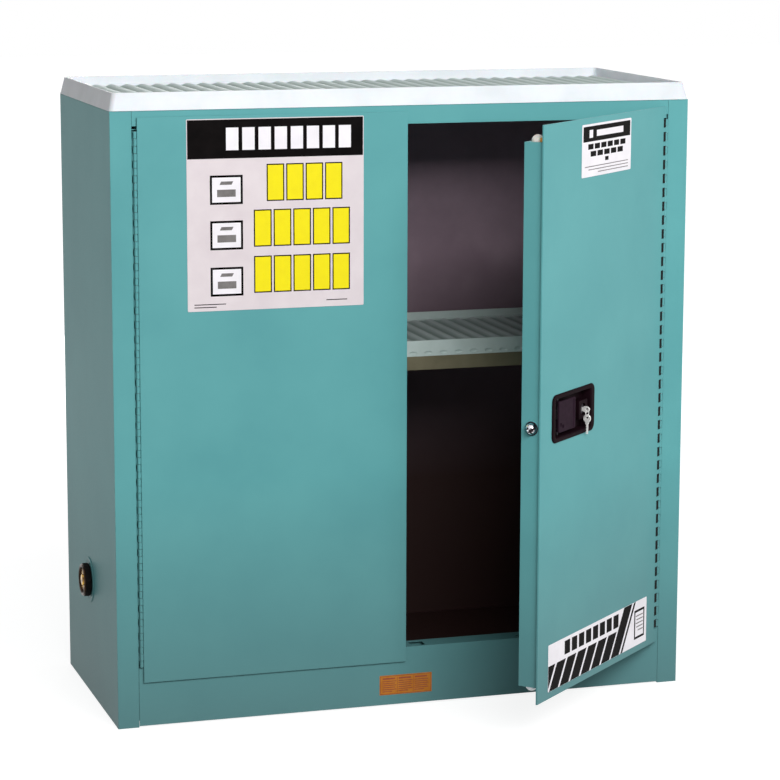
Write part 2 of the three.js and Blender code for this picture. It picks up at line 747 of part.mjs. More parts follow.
// Left door, with a strike hole for the right door's bullet
const bulletHole = prismX(
  outline(circle(bulletDepth, bulletHeight, bulletRadius + strikeClearance, boltFacets)),
  [panEnd - panSheet - overrun, panEnd + overrun],
);
add(leftDoor, 'left_door_skin', inDoor(-1, doorSkin()), paint());
add(leftDoor, 'left_door_pan', inDoor(-1, doorPan(bulletHole)), paint());
add(leftDoor, 'left_door_stiffener', inDoor(-1, doorStiffener()), zinc());
add(leftDoor, 'left_door_plate', inDoor(-1, doorPlate(leftPlateFromEdge, leftPlateWidth,
  [skinTop - leftPlateFromTop - leftPlateHeight, skinTop - leftPlateFromTop])), whitePlate());

// Right door
const addRight = (name, geometry, material) => add(rightDoor, name, inDoor(1, geometry), material);
const trayWidth = recessWidth + 2 * recessWall;
const trayHeight = recessHeight + 2 * recessWall;
const handleHole = prismY(roundedRectangle(handleCentre, handleHeight, trayWidth + 2 * seatGap,
  trayHeight + 2 * seatGap, recessCorner, cornerSteps), [-overrun, doorSheet + overrun]);
const boltHole = (z) => prismZ(outline(circle(boltPlace, boltDepth, boltRadius + seatGap, boltFacets)),
  [z - overrun, z + overrun]);
const rockerStud = prismY(outline(circle(rockerPlace, handleHeight, studRadius, pinFacets)),
  [rockerLayer - seatGap, panFloor + panSheet / 2]);

addRight('right_door_skin', doorSkin(handleHole), paint());
const collar = turnedAlongX([
  [bulletRadius + seatGap, -panSheet / 2], [bulletRadius + collarWall, -panSheet / 2],
  [bulletRadius + collarWall, collarHeight / 2], [bulletRadius + collarWall - tipBevel, collarHeight],
  [bulletRadius + seatGap, collarHeight], [bulletRadius + seatGap, -panSheet / 2],
], wideFacets).translate(panEnd, bulletDepth, bulletHeight);
addRight('right_door_pan',
  join(doorPan(bulletHole, boltHole(panTop), boltHole(panBottom)), rockerStud, collar), paint());
addRight('right_door_stiffener', doorStiffener(), zinc());
addRight('right_door_upper_plate', doorPlate(upperPlateFromEdge, upperPlateWidth,
  [skinTop - upperPlateFromTop - upperPlateHeight, skinTop - upperPlateFromTop]), whitePlate());
addRight('right_door_lower_plate', doorPlate(lowerPlateFromEdge, lowerPlateWidth,
  [skinBottom + lowerPlateFromBottom, skinBottom + lowerPlateFromBottom + lowerPlateHeight]), whitePlate());

// Handle tray with the lock boss, the bores of the paddle pin and the slot for the paddle's tail
const tailZ = [drivePinHeight - tailHeight / 2, drivePinHeight + tailHeight / 2];
const swingRoom = tailLength * Math.sin(THREE.MathUtils.degToRad(rightDoorOpenDegrees));
const pinZ = [handleHeight - trayHeight / 2, handleHeight + trayHeight / 2];

function handleTray() {
  const rounded = (width, height, corner, steps, depth) => prismY(
    roundedRectangle(handleCentre, handleHeight, width, height, corner, steps), depth);
  const flange = rounded(bezelWidth, bezelHeight, bezelCorner, bezelSteps, [-seatGap - bezelProud, -seatGap]);
  const tray = rounded(trayWidth, trayHeight, recessCorner, cornerSteps,
    [-seatGap - bezelProud / 2, recessBack]);
  const recess = rounded(recessWidth, recessHeight, recessCorner, cornerSteps,
    [-bezelProud - overrun, recessDepth]);
  const boss = box(around(lockPlace, bossWidth), [bossDepth, recessBack - recessWall / 2],
    around(handleHeight, bossHeight));
  const lockBore = prismY(outline(circle(lockPlace, handleHeight, barrelLockRadius + seatGap, footFacets)),
    [-overrun, recessBack + overrun]);
  const lockCup = prismY(
    outline(circle(lockPlace, handleHeight, barrelLockRadius + lockFlange + seatGap, boltFacets)),
    [-overrun, bossDepth + lockSink]);
  const tailSlot = box([pivotPlace - tailThickness - swingRoom, pivotPlace + tailThickness],
    [recessDepth - overrun, recessBack + overrun], [tailZ[0] - seatGap, tailZ[1] + seatGap]);
  const pinBore = prismZ(outline(circle(pivotPlace, pivotDepth, paddlePinRadius + seatGap, pinFacets)),
    [pinZ[0] - overrun, pinZ[1] + overrun]);
  return cut(join(cut(join(flange, tray), recess), boss), lockBore, lockCup, tailSlot, pinBore);
}
addRight('handle_tray', handleTray(), blackMetal());

function paddle() {
  const [bottom, top] = around(handleHeight, paddleHeight);
  const plate = box([paddleStart, paddleEnd], [0, paddlePlate], [bottom, top]);
  const ear = (z) => box(around(pivotPlace, 2 * earHalfWidth), [paddlePlate / 2, pivotDepth + earReach], z);
  const tail = box(around(pivotPlace, tailThickness), [paddlePlate / 2, tailDepth], tailZ);
  const bore = prismZ(outline(circle(pivotPlace, pivotDepth, paddlePinRadius + seatGap, pinFacets)),
    [bottom - overrun, top + overrun]);
  const notch = box(around(paddleStart + paddleNotchFromEdge, paddleNotchWidth),
    [-overrun, paddlePlate / 2], [bottom - overrun, bottom + paddleNotchHeight]);
  const hub = prismZ(outline(circle(pivotPlace, pivotDepth, earHalfWidth, pinFacets)), tailZ);
  const ears = [ear([bottom, bottom + paddleEar]), ear([top - paddleEar, top])];
  return cut(join(plate, ...ears, tail, hub), bore, notch);
}
addRight('paddle', paddle(), blackPlastic());
addRight('paddle_pin', prismZ(outline(circle(pivotPlace, pivotDepth, paddlePinRadius, pinFacets)),
  [pinZ[0] + seatGap, pinZ[1] - seatGap]), zinc());

function paddleSpring() {
  const shape = outline(circle(pivotPlace, pivotDepth, springRadius, pinFacets));
  shape.holes.push(outline(circle(pivotPlace, pivotDepth, paddlePinRadius + seatGap, pinFacets)));
  const start = tailZ[1] + seatGap;
  return prismZ(shape, [start, start + springLength]);
}
addRight('paddle_spring', paddleSpring(), zinc());

// Key lock: barrel, plug with its keyway, cam, the key in it, and a spare key on a ring
const lockFace = bossDepth + lockSink - seatGap;
const plugFace = lockFace - lockFlange - plugProud;
const round = (radius, from, to, sides) => prismY(outline(circle(lockPlace, handleHeight, radius, sides)),
  [from, to]);

addRight('lock_barrel', cut(
  join(round(barrelLockRadius, lockFace - lockFlange / 2, lockLength, footFacets),
    round(barrelLockRadius + lockFlange, lockFace - lockFlange, lockFace, boltFacets)),
  round(plugRadius + seatGap, -bezelProud - overrun, lockLength + overrun, footFacets),
), chrome());
const keyway = box(around(lockPlace, keyThickness + 2 * seatGap),
  [plugFace - overrun, plugFace + keyInset + seatGap], around(handleHeight, keyBladeWidth + 2 * seatGap));
addRight('lock_plug', cut(join(round(plugRadius, plugFace, lockLength, footFacets),
  round(camPinRadius, lockLength - overrun, lockLength + camThickness, smallFacets)), keyway), chrome());
const camStart = lockLength + seatGap;
addRight('lock_cam', cut(
  box(around(lockPlace, camWidth), [camStart, camStart + camThickness],
    [handleHeight - camReach, handleHeight + plugRadius + camThickness]),
  round(camPinRadius + seatGap, camStart - overrun, camStart + camThickness + overrun, smallFacets),
), zinc());

// A key lies in the plane of depth and height, its bow centred on its own origin and its blade along Z
function keyShape(bladeLength) {
  const bow = circle(0, 0, keyBowRadius, boltFacets);
  const half = keyBladeWidth / 2;
  const tip = -keyBowRadius - bladeLength;
  const blade = outline([
    [-half, 0], [half, 0], [half, tip + tipBevel], [half - tipBevel, tip], [tipBevel - half, tip],
    [-half, tip + tipBevel],
  ]);
  const span = around(0, keyThickness);
  return cut(join(prismX(outline(bow), span), prismX(blade, span)),
    prismX(outline(circle(0, keyHoleOffset, keyHoleRadius, pinFacets)), [-overrun, overrun]));
}
const bowDepth = plugFace - keyBowRadius - (keyBladeLength - keyInset);
const keyHoleDepth = bowDepth - keyHoleOffset;
addRight('key',
  keyShape(keyBladeLength).rotateX(Math.PI / 2).translate(lockPlace, bowDepth, handleHeight), zinc());

const ringTop = handleHeight - keyHoleRadius + keyRingWire + seatGap;
const ringCentre = ringTop - keyRingRadius;
const spareHole = ringCentre - keyRingRadius + keyRingWire + seatGap - keyHoleRadius;
const ringWire = new THREE.TorusGeometry(keyRingRadius, keyRingWire, tinyFacets, boltFacets);
addRight('key_ring',
  outward(ringWire.rotateX(Math.PI / 2).translate(lockPlace, keyHoleDepth, ringCentre)), zinc());
addRight('spare_key',
  keyShape(keyBladeLength).translate(lockPlace, keyHoleDepth, spareHole - keyHoleOffset), zinc());

// Rocker: turned by the paddle's tail, it draws both rods in and pulls the bullet back
function rocker() {
  const depth = [rockerLayer, rockerLayer + rockerSheet];
  const armEnd = rockerArm + rockerPinRadius + tipBevel;
  const bar = box(around(rockerPlace, 2 * armEnd), depth, around(handleHeight, 2 * rockerHalfHeight));
  const drop = box([rockerPlace - rockerHalfHeight, rockerPlace + rockerHalfHeight], depth,
    [drivePinHeight - 2 * drivePinRadius, handleHeight]);
  const rodPin = (side) => prismY(
    outline(circle(rockerPlace + side * rockerArm, handleHeight, rockerPinRadius, smallFacets)),
    [rockerLayer + rockerSheet / 2, rodLayer + rodSheet + seatGap]);
  const drivePin = prismY(outline(circle(drivePinPlace, drivePinHeight, drivePinRadius, smallFacets)),
    [tailDepth - tailThickness, rockerLayer + rockerSheet / 2]);
  const bore = prismY(outline(circle(rockerPlace, handleHeight, studRadius + seatGap, pinFacets)),
    [rockerLayer - overrun, rockerLayer + rockerSheet + overrun]);
  return join(cut(join(bar, drop), bore), rodPin(-1), rodPin(1), drivePin);
}
addRight('rocker', rocker(), zinc());

// Rods: flat bars with an eye round the rocker's pin and a round-nosed bolt at the far end
const rodDepth = [rodLayer, rodLayer + rodSheet];
const eyeSide = rockerArm * eyeSideShare;
const eyeWidth = 2 * rockerPinRadius + eyeSide + 2 * eyePlay;

function rodEye(side) {
  const centre = rockerPlace + side * (rockerArm - eyeSide / 2);
  const plate = box(around(centre, eyeWidth + rodWidth / 2), rodDepth, around(handleHeight, eyeHeight));
  const slot = box(around(centre, eyeWidth), [rodLayer - overrun, rodLayer + rodSheet + overrun],
    around(handleHeight, 2 * (rockerPinRadius + eyePlay)));
  return { centre, plate, slot };
}

function bolt(tip, towards) {
  const nose = tip - towards * boltRadius;
  const tail = tip - towards * boltLength;
  const profile = [[0, tail - towards * boltLength], [boltShankRadius, tail - towards * boltLength],
    [boltShankRadius, tail], [boltRadius, tail], [boltRadius, nose]];
  for (let i = 1; i < noseSteps; i += 1) {
    const angle = i / noseSteps * Math.PI / 2;
    profile.push([boltRadius * Math.cos(angle), nose + towards * boltRadius * Math.sin(angle)]);
  }
  profile.push([0, tip]);
  return turned(profile, boltFacets).translate(boltPlace, boltDepth, 0);
}

const topTip = panTop + boltReach;
const bottomTip = panBottom - boltReach;
const topEye = rodEye(1);
const bottomEye = rodEye(-1);
const topRodBar = box(around(boltPlace, rodWidth), rodDepth,
  [handleHeight - eyeHeight / 2, topTip - 2 * boltLength + overrun]);
const topRodArm = box([topEye.centre, boltPlace], rodDepth,
  [handleHeight + rockerPinRadius + 2 * eyePlay, handleHeight + eyeHeight / 2]);
addRight('top_rod',
  join(cut(join(topEye.plate, topRodArm, topRodBar), topEye.slot), bolt(topTip, 1)), zinc());

const jogZ = [handleHeight - bottomRodJog, handleHeight - bottomRodJog + rodWidth];
const bottomRodDrop = box(around(bottomEye.centre, rodWidth), rodDepth,
  [jogZ[0], handleHeight - rockerPinRadius - 2 * eyePlay]);
const bottomRodArm = box([bottomEye.centre - rodWidth / 2, boltPlace + rodWidth / 2], rodDepth, jogZ);
const bottomRodBar = box(around(boltPlace, rodWidth), rodDepth,
  [bottomTip + 2 * boltLength - overrun, jogZ[1]]);
const bottomRodPlates = join(bottomEye.plate, bottomRodDrop, bottomRodArm, bottomRodBar);
addRight('bottom_rod', join(cut(bottomRodPlates, bottomEye.slot), bolt(bottomTip, -1)), zinc());

// Bullet: a round-nosed plunger in the door's free edge, with a bar that ends in a slot round the drive pin
const bulletTip = panEnd + bulletReach;
function bullet() {
  const stemEnd = bulletTip - bulletStemLength;
  const tailEnd = stemEnd - bulletStemLength;
  const profile = [[0, tailEnd], [bulletStemRadius, tailEnd], [bulletStemRadius, stemEnd],
    [bulletRadius, stemEnd]];
  for (let i = 0; i < noseSteps; i += 1) {
    const angle = i / noseSteps * Math.PI / 2;
    profile.push([bulletRadius * Math.cos(angle), bulletTip + bulletRadius * (Math.sin(angle) - 1)]);
  }
  profile.push([0, bulletTip]);
  const nose = turnedAlongX(profile, boltFacets).translate(0, bulletDepth, bulletHeight);
  const barDepth = [tailDepth + seatGap, rockerLayer - seatGap];
  const barEnd = drivePinPlace - drivePinRadius - eyePlay - rodWidth / 2;
  const bar = box([barEnd, tailEnd + overrun], barDepth, around(drivePinHeight, eyeHeight));
  const slot = box(around(drivePinPlace, 2 * (drivePinRadius + eyePlay)),
    [tailDepth - overrun, rockerLayer + overrun],
    [drivePinHeight - drivePinRadius - eyePlay, drivePinHeight + 3 * drivePinRadius]);
  return join(cut(bar, slot), nose);
}
addRight('bullet', bullet(), chrome());

export default cabinet;
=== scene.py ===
"""The looks of a double-walled steel cabinet for corrosives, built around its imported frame.

Lengths are in millimetres until a piece is finished, and then in metres. X runs across the front,
the front faces -Y, and the floor is Z = 0.
"""
import logging
import math
from dataclasses import dataclass, field
from enum import Enum
from typing import Iterable, Sequence

import bmesh
import bpy
from mathutils import Matrix, Vector


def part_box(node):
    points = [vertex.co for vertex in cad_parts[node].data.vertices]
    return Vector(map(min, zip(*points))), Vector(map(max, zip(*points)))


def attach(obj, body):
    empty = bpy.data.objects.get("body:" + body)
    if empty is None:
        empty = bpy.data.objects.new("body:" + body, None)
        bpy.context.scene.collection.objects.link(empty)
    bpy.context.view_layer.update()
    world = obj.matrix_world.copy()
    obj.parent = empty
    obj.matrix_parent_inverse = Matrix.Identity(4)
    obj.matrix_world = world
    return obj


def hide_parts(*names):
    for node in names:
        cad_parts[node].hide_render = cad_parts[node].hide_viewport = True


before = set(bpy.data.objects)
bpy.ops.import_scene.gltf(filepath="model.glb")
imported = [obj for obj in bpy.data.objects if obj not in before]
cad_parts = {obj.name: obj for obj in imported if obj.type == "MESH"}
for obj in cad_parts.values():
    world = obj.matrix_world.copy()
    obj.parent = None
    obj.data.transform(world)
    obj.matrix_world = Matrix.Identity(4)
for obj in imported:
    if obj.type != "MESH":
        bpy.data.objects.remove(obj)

log = logging.getLogger("cabinet")

METRES = 0.001
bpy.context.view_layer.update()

Point = tuple[float, float, float]
Area = tuple[float, float, float, float]
Bar = tuple[float, float, float, float, float]


class Side(Enum):
    """The two halves of the cabinet, seen from the front."""

    LEFT = -1
    RIGHT = 1


# Finishes


def linear(colour: str) -> tuple[float, float, float, float]:
    """Turns an sRGB hex colour to the linear colour that a shader takes.

    Args:
        colour: a colour such as "#6db0b0".

    Returns:
        Red, green, blue and an alpha of 1.
    """
    parts = [int(colour[i:i + 2], 16) / 255 for i in (1, 3, 5)]
    return tuple(p / 12.92 if p <= 0.04045 else ((p + 0.055) / 1.055) ** 2.4 for p in parts) + (1.0,)


def add_node(tree: bpy.types.NodeTree, kind: str, inputs: dict | None = None, **settings) -> bpy.types.Node:
    """Adds a node to a tree.

    Args:
        tree: the tree that takes the node.
        kind: the node's type name.
        inputs: what each input gets, by its name or number: a value, or the output that feeds it.
        settings: the node's own settings.

    Returns:
        The new node.
    """
    node = tree.nodes.new(kind)
    for name, value in settings.items():
        setattr(node, name, value)
    for socket, value in (inputs or {}).items():
        if isinstance(value, bpy.types.NodeSocket):
            tree.links.new(value, node.inputs[socket])
        else:
            node.inputs[socket].default_value = value
    return node


@dataclass(frozen=True)
class Finish:
    """A finish with soft patches of a second colour, and a fine grain that moves its gloss and surface.

    The sizes of the patches and of the grain are real ones, in millimetres.
    """

    title: str
    colour: str
    shade: str
    roughness: float
    patch_mm: float
    grain_mm: float
    grain_depth_mm: float
    gloss_spread: float = 0.08
    metallic: float = 0.0
    stretch: Point = (1.0, 1.0, 1.0)
    patch_low: float = 0.35
    patch_high: float = 0.68
    specular: float = 0.5
    subsurface: float = 0.0

    def material(self) -> bpy.types.Material:
        """Returns the finish's material, made once."""
        found = bpy.data.materials.get(self.title)
        if found:
            return found
        made = bpy.data.materials.new(self.title)
        made.use_nodes = True
        tree = made.node_tree
        shader = tree.nodes["Principled BSDF"]
        shader.inputs["Metallic"].default_value = self.metallic
        if not self.metallic:
            shader.inputs["Specular IOR Level"].default_value = self.specular
        if self.subsurface:
            shader.inputs["Subsurface Weight"].default_value = self.subsurface
            shader.inputs["Subsurface Scale"].default_value = self.grain_mm * METRES
        place = self.place(tree)
        tree.links.new(self.tint(tree, place), shader.inputs["Base Color"])
        grain = add_node(tree, "ShaderNodeTexNoise", {"Vector": place, "Scale": 1 / (self.grain_mm * METRES),
                                                       "Detail": 3.0, "Roughness": 0.6})
        gloss = add_node(tree, "ShaderNodeMapRange", {
            0: grain.outputs[0], 1: 0.3, 2: 0.7,
            3: max(self.roughness - self.gloss_spread, 0.02), 4: min(self.roughness + self.gloss_spread, 1.0)})
        tree.links.new(gloss.outputs[0], shader.inputs["Roughness"])
        bump = add_node(tree, "ShaderNodeBump", {"Height": self.relief(tree, place, grain.outputs[0]),
                                                 "Distance": self.grain_depth_mm * METRES, "Strength": 1.0})
        tree.links.new(bump.outputs[0], shader.inputs["Normal"])
        return made

    def place(self, tree: bpy.types.NodeTree) -> bpy.types.NodeSocket:
        """Returns the place on the piece that the patterns read, drawn out by the stretch."""
        where = add_node(tree, "ShaderNodeTexCoord")
        drawn = add_node(tree, "ShaderNodeMapping", {"Vector": where.outputs["Object"], "Scale": self.stretch})
        return drawn.outputs[0]

    def tint(self, tree: bpy.types.NodeTree, place: bpy.types.NodeSocket) -> bpy.types.NodeSocket:
        """Returns the base colour: the finish's colour with patches of its shade."""
        patches = add_node(tree, "ShaderNodeTexNoise", {"Vector": place, "Scale": 1 / (self.patch_mm * METRES),
                                                        "Detail": 4.0, "Roughness": 0.55})
        share = add_node(tree, "ShaderNodeMapRange", {0: patches.outputs[0], 1: self.patch_low,
                                                      2: self.patch_high})
        mixed = add_node(tree, "ShaderNodeMix", {0: share.outputs[0], 6: linear(self.colour),
                                                 7: linear(self.shade)}, data_type="RGBA")
        return mixed.outputs[2]

    def relief(self, tree: bpy.types.NodeTree, place: bpy.types.NodeSocket,
               grain: bpy.types.NodeSocket) -> bpy.types.NodeSocket:
        """Returns the height that the surface's bump reads: the grain itself."""
        return grain


@dataclass(frozen=True)
class PowderCoat(Finish):
    """Baked powder coat: a satin skin with the long soft waves that an even spray leaves."""

    wave_mm: float = 9.0
    # The foot colour is painted shade, mixed in more and more towards the floor
    foot_shade_colour: str = ""
    foot_shade_mm: float = 450.0
    foot_shade_share: float = 0.6

    def tint(self, tree: bpy.types.NodeTree, place: bpy.types.NodeSocket) -> bpy.types.NodeSocket:
        """Returns the patched colour, with painted shade that darkens it towards the floor."""
        patched = Finish.tint(self, tree, place)
        if not self.foot_shade_colour:
            return patched
        # Painted shade: the foot colour takes over towards the floor
        parts = add_node(tree, "ShaderNodeSeparateXYZ", {"Vector": place})
        low = add_node(tree, "ShaderNodeMapRange", {0: parts.outputs["Z"], 1: self.foot_shade_mm * METRES, 2: 0.0,
                                                    3: 0.0, 4: self.foot_shade_share})
        mixed = add_node(tree, "ShaderNodeMix", {0: low.outputs[0], 6: patched, 7: linear(self.foot_shade_colour)},
                         data_type="RGBA")
        return mixed.outputs[2]

    def relief(self, tree: bpy.types.NodeTree, place: bpy.types.NodeSocket,
               grain: bpy.types.NodeSocket) -> bpy.types.NodeSocket:
        """Returns the grain laid over the soft waves."""
        waves = add_node(tree, "ShaderNodeTexNoise", {"Vector": place, "Scale": 1 / (self.wave_mm * METRES),
                                                      "Detail": 1.0})
        both = add_node(tree, "ShaderNodeMath", {0: waves.outputs[0], 1: grain}, operation="ADD")
        return both.outputs[0]


@dataclass(frozen=True)
class ZincPlate(Finish):
    """Bright zinc plate on rolled steel: small crystals that catch the light one by one."""

    crystal_mm: float = 3.0

    def tint(self, tree: bpy.types.NodeTree, place: bpy.types.NodeSocket) -> bpy.types.NodeSocket:
        """Returns the colour, changing a little from crystal to crystal."""
        cells = add_node(tree, "ShaderNodeTexVoronoi", {"Vector": place, "Scale": 1 / (self.crystal_mm * METRES)})
        parts = add_node(tree, "ShaderNodeSeparateXYZ", {"Vector": cells.outputs["Color"]})
        mixed = add_node(tree, "ShaderNodeMix", {0: parts.outputs["X"], 6: linear(self.colour),
                                                 7: linear(self.shade)}, data_type="RGBA")
        return mixed.outputs[2]


@dataclass(frozen=True)
class RibbedFinish(Finish):
    """A moulded sheet with ribs along Y, with painted shade darker between them."""

    # Painted shade between the ribs
    valley_shade: str = "#8b9f98"
    rib_mm: float = 29.5

    def tint(self, tree: bpy.types.NodeTree, place: bpy.types.NodeSocket) -> bpy.types.NodeSocket:
        """Returns the patched colour on the ribs, and painted shade between them."""
        parts = add_node(tree, "ShaderNodeSeparateXYZ", {"Vector": place})
        turns = add_node(tree, "ShaderNodeMath", {0: parts.outputs["X"], 1: 2 * math.pi / (self.rib_mm * METRES)},
                         operation="MULTIPLY")
        wave = add_node(tree, "ShaderNodeMath", {0: turns.outputs[0]}, operation="COSINE")
        share = add_node(tree, "ShaderNodeMapRange", {0: wave.outputs[0], 1: -0.5, 2: 0.5})
        mixed = add_node(tree, "ShaderNodeMix", {0: share.outputs[0], 6: Finish.tint(self, tree, place),
                                                 7: linear(self.valley_shade)}, data_type="RGBA")
        return mixed.outputs[2]


# Baked powder coat on sheet steel, outside: satin, with a slow change of tone, a fine orange peel, and painted
# shade that darkens it towards the floor
TEAL = PowderCoat("teal_powder_coat", "#62a6a8", "#5c9fa2", roughness=0.42, patch_mm=190, grain_mm=2.2,
                  grain_depth_mm=0.03, gloss_spread=0.05, specular=0.1, foot_shade_colour="#56696b")
# The same coat inside, painted a dark purple grey as painted shade, and darker still towards the floor as more
# painted shade
INNER_SHADE_COAT = PowderCoat("inner_coat_painted_shade", "#917d89", "#826f7b", roughness=0.55, patch_mm=120, grain_mm=2.2,
                   grain_depth_mm=0.03, specular=0.2, foot_shade_colour="#33211f", foot_shade_mm=900, foot_shade_share=1.6)
# Coated shelf steel: olive grey, a little chalky
SHELF_GREY = PowderCoat("olive_grey_shelf_coat", "#706a55", "#645f4b", roughness=0.5, patch_mm=60,
                        grain_mm=1.8, grain_depth_mm=0.04, specular=0.2)
# Zinc plate on brackets, rods and pins
ZINC = ZincPlate("zinc_plate", "#b4b8ba", "#9a9ea1", roughness=0.34, patch_mm=20, grain_mm=1.0,
                 grain_depth_mm=0.01, metallic=1.0, gloss_spread=0.1)
# Mill steel of the levelling feet, with a dark oil film
FOOT_STEEL = Finish("oiled_mill_steel", "#55585a", "#3b3d3f", roughness=0.45, patch_mm=12, grain_mm=1.2,
                    grain_depth_mm=0.03, metallic=1.0)
# Chrome of the bullet, with crisp dark patches that are painted reflections
CHROME_PAINTED_REFLECTIONS = Finish("worn_chrome", "#e2e4ea", "#2c2427", roughness=0.14, patch_mm=7, grain_mm=2.0,
                     grain_depth_mm=0.004, gloss_spread=0.05, metallic=1.0, patch_low=0.45, patch_high=0.52)
# Nickel-plated key steel: bright, with rubbed patches
NICKEL = Finish("rubbed_nickel", "#f3f2ef", "#dfdedb", roughness=0.3, patch_mm=4, grain_mm=0.8,
                grain_depth_mm=0.008, gloss_spread=0.08, metallic=0.25)
# Turned brass in the middle of the vent cap, with dark patches that are painted reflections, and the rim round
# it, brass made nearly black as a painted dark reflection
BRASS_PAINTED_REFLECTIONS = Finish("turned_brass", "#d9ac4c", "#5a3b1a", roughness=0.22, patch_mm=14, grain_mm=0.9,
               grain_depth_mm=0.01, metallic=1.0, patch_low=0.45, patch_high=0.6)
DARK_BRASS_PAINTED_REFLECTION = Finish("aged_brass", "#3a2a1e", "#17100c", roughness=0.3, patch_mm=9, grain_mm=0.9,
                    grain_depth_mm=0.02, metallic=1.0)
# Zinc casting with a black satin stove enamel: a purplish black with a fine wrinkle
BLACK_CASTING = Finish("black_stove_enamel", "#1a0c12", "#12080c", roughness=0.5, patch_mm=18, grain_mm=0.9,
                       grain_depth_mm=0.05, gloss_spread=0.07, specular=0.02)
# Glass-filled nylon of the paddle: a little lighter and duller than the casting
BLACK_NYLON = Finish("black_moulded_nylon", "#2c1d28", "#241721", roughness=0.5, patch_mm=9, grain_mm=0.6,
                     grain_depth_mm=0.03, gloss_spread=0.08, specular=0.02)
# Blackened steel of the lock's face, rubbed by the key
LOCK_STEEL = Finish("blackened_lock_steel", "#2e2a2e", "#453f45", roughness=0.35, patch_mm=5, grain_mm=0.8,
                    grain_depth_mm=0.02, gloss_spread=0.1, metallic=1.0)
# Rotationally moulded polyethylene trays: milky, waxy, with a soft mould texture
POLYETHYLENE = Finish("milky_polyethylene", "#e0e4e9", "#d6dbdf", roughness=0.42, patch_mm=80, grain_mm=1.6,
                      grain_depth_mm=0.06, gloss_spread=0.08, specular=0.25, subsurface=0.15)
# The same polyethylene inside the cabinet, painted a greenish grey as painted shade
SHADED_POLYETHYLENE = Finish("dulled_polyethylene", "#b6c4c1", "#a9b7b3", roughness=0.42, patch_mm=80, grain_mm=1.6,
                           grain_depth_mm=0.06, gloss_spread=0.08, specular=0.3)
# The trays' ribbed floors: greyer than the walls, and darker still between the ribs, all painted shade
TRAY_FLOOR_SHADE = RibbedFinish("milky_ribbed_floor", "#c6d5d2", "#bacac7", roughness=0.42, patch_mm=80, grain_mm=1.6,
                          grain_depth_mm=0.06, gloss_spread=0.08, specular=0.14)
# Yellowed vinyl of the large plate: a warm pale grey
PALE_VINYL = Finish("pale_printed_vinyl", "#e1d7da", "#d9ced2", roughness=0.36, patch_mm=60, grain_mm=6.0,
                    grain_depth_mm=0.03, gloss_spread=0.05, specular=0.25)
# Glossy printed vinyl on the plates, with the faint lift that its glue gives it
WHITE_VINYL = Finish("white_printed_vinyl", "#f4f0f5", "#ebe7ec", roughness=0.36, patch_mm=40, grain_mm=6.0,
                     grain_depth_mm=0.03, gloss_spread=0.05, specular=0.25)
BLACK_INK = Finish("black_printing_ink", "#0c0a0a", "#131010", roughness=0.45, patch_mm=25, grain_mm=3.0,
                   grain_depth_mm=0.01, specular=0.02)
YELLOW_INK = Finish("yellow_printing_ink", "#f2e20e", "#efde10", roughness=0.34, patch_mm=15, grain_mm=3.0,
                    grain_depth_mm=0.01, specular=0.25)
GREY_INK = Finish("grey_printing_ink", "#74706f", "#5f5b5a", roughness=0.36, patch_mm=15, grain_mm=2.0,
                  grain_depth_mm=0.01)
ORANGE_VINYL = Finish("orange_printed_vinyl", "#bb772a", "#ad681e", roughness=0.36, patch_mm=14, grain_mm=3.0,
                      grain_depth_mm=0.02, specular=0.2)
RED_INK = Finish("red_brown_ink", "#7c2d14", "#93401d", roughness=0.4, patch_mm=8, grain_mm=2.0,
                 grain_depth_mm=0.01)
# Natural nylon of the bolt's nose, and the amber bush beside it
NATURAL_NYLON = Finish("natural_nylon", "#f4efe8", "#e9e2d6", roughness=0.38, patch_mm=7, grain_mm=1.0,
                       grain_depth_mm=0.02, subsurface=0.2)
AMBER = Finish("amber_polyurethane", "#e39a33", "#cf8423", roughness=0.35, patch_mm=5, grain_mm=1.0,
               grain_depth_mm=0.02, subsurface=0.1)
# Black rubber of the vent cap's grip, also used for the black strip of painted shade behind the open hinge's
# notches
BLACK_RUBBER_AND_SHADE = Finish("black_rubber", "#0f0d0d", "#181514", roughness=0.6, patch_mm=9, grain_mm=0.7,
                grain_depth_mm=0.05, specular=0.06)


# Shapes


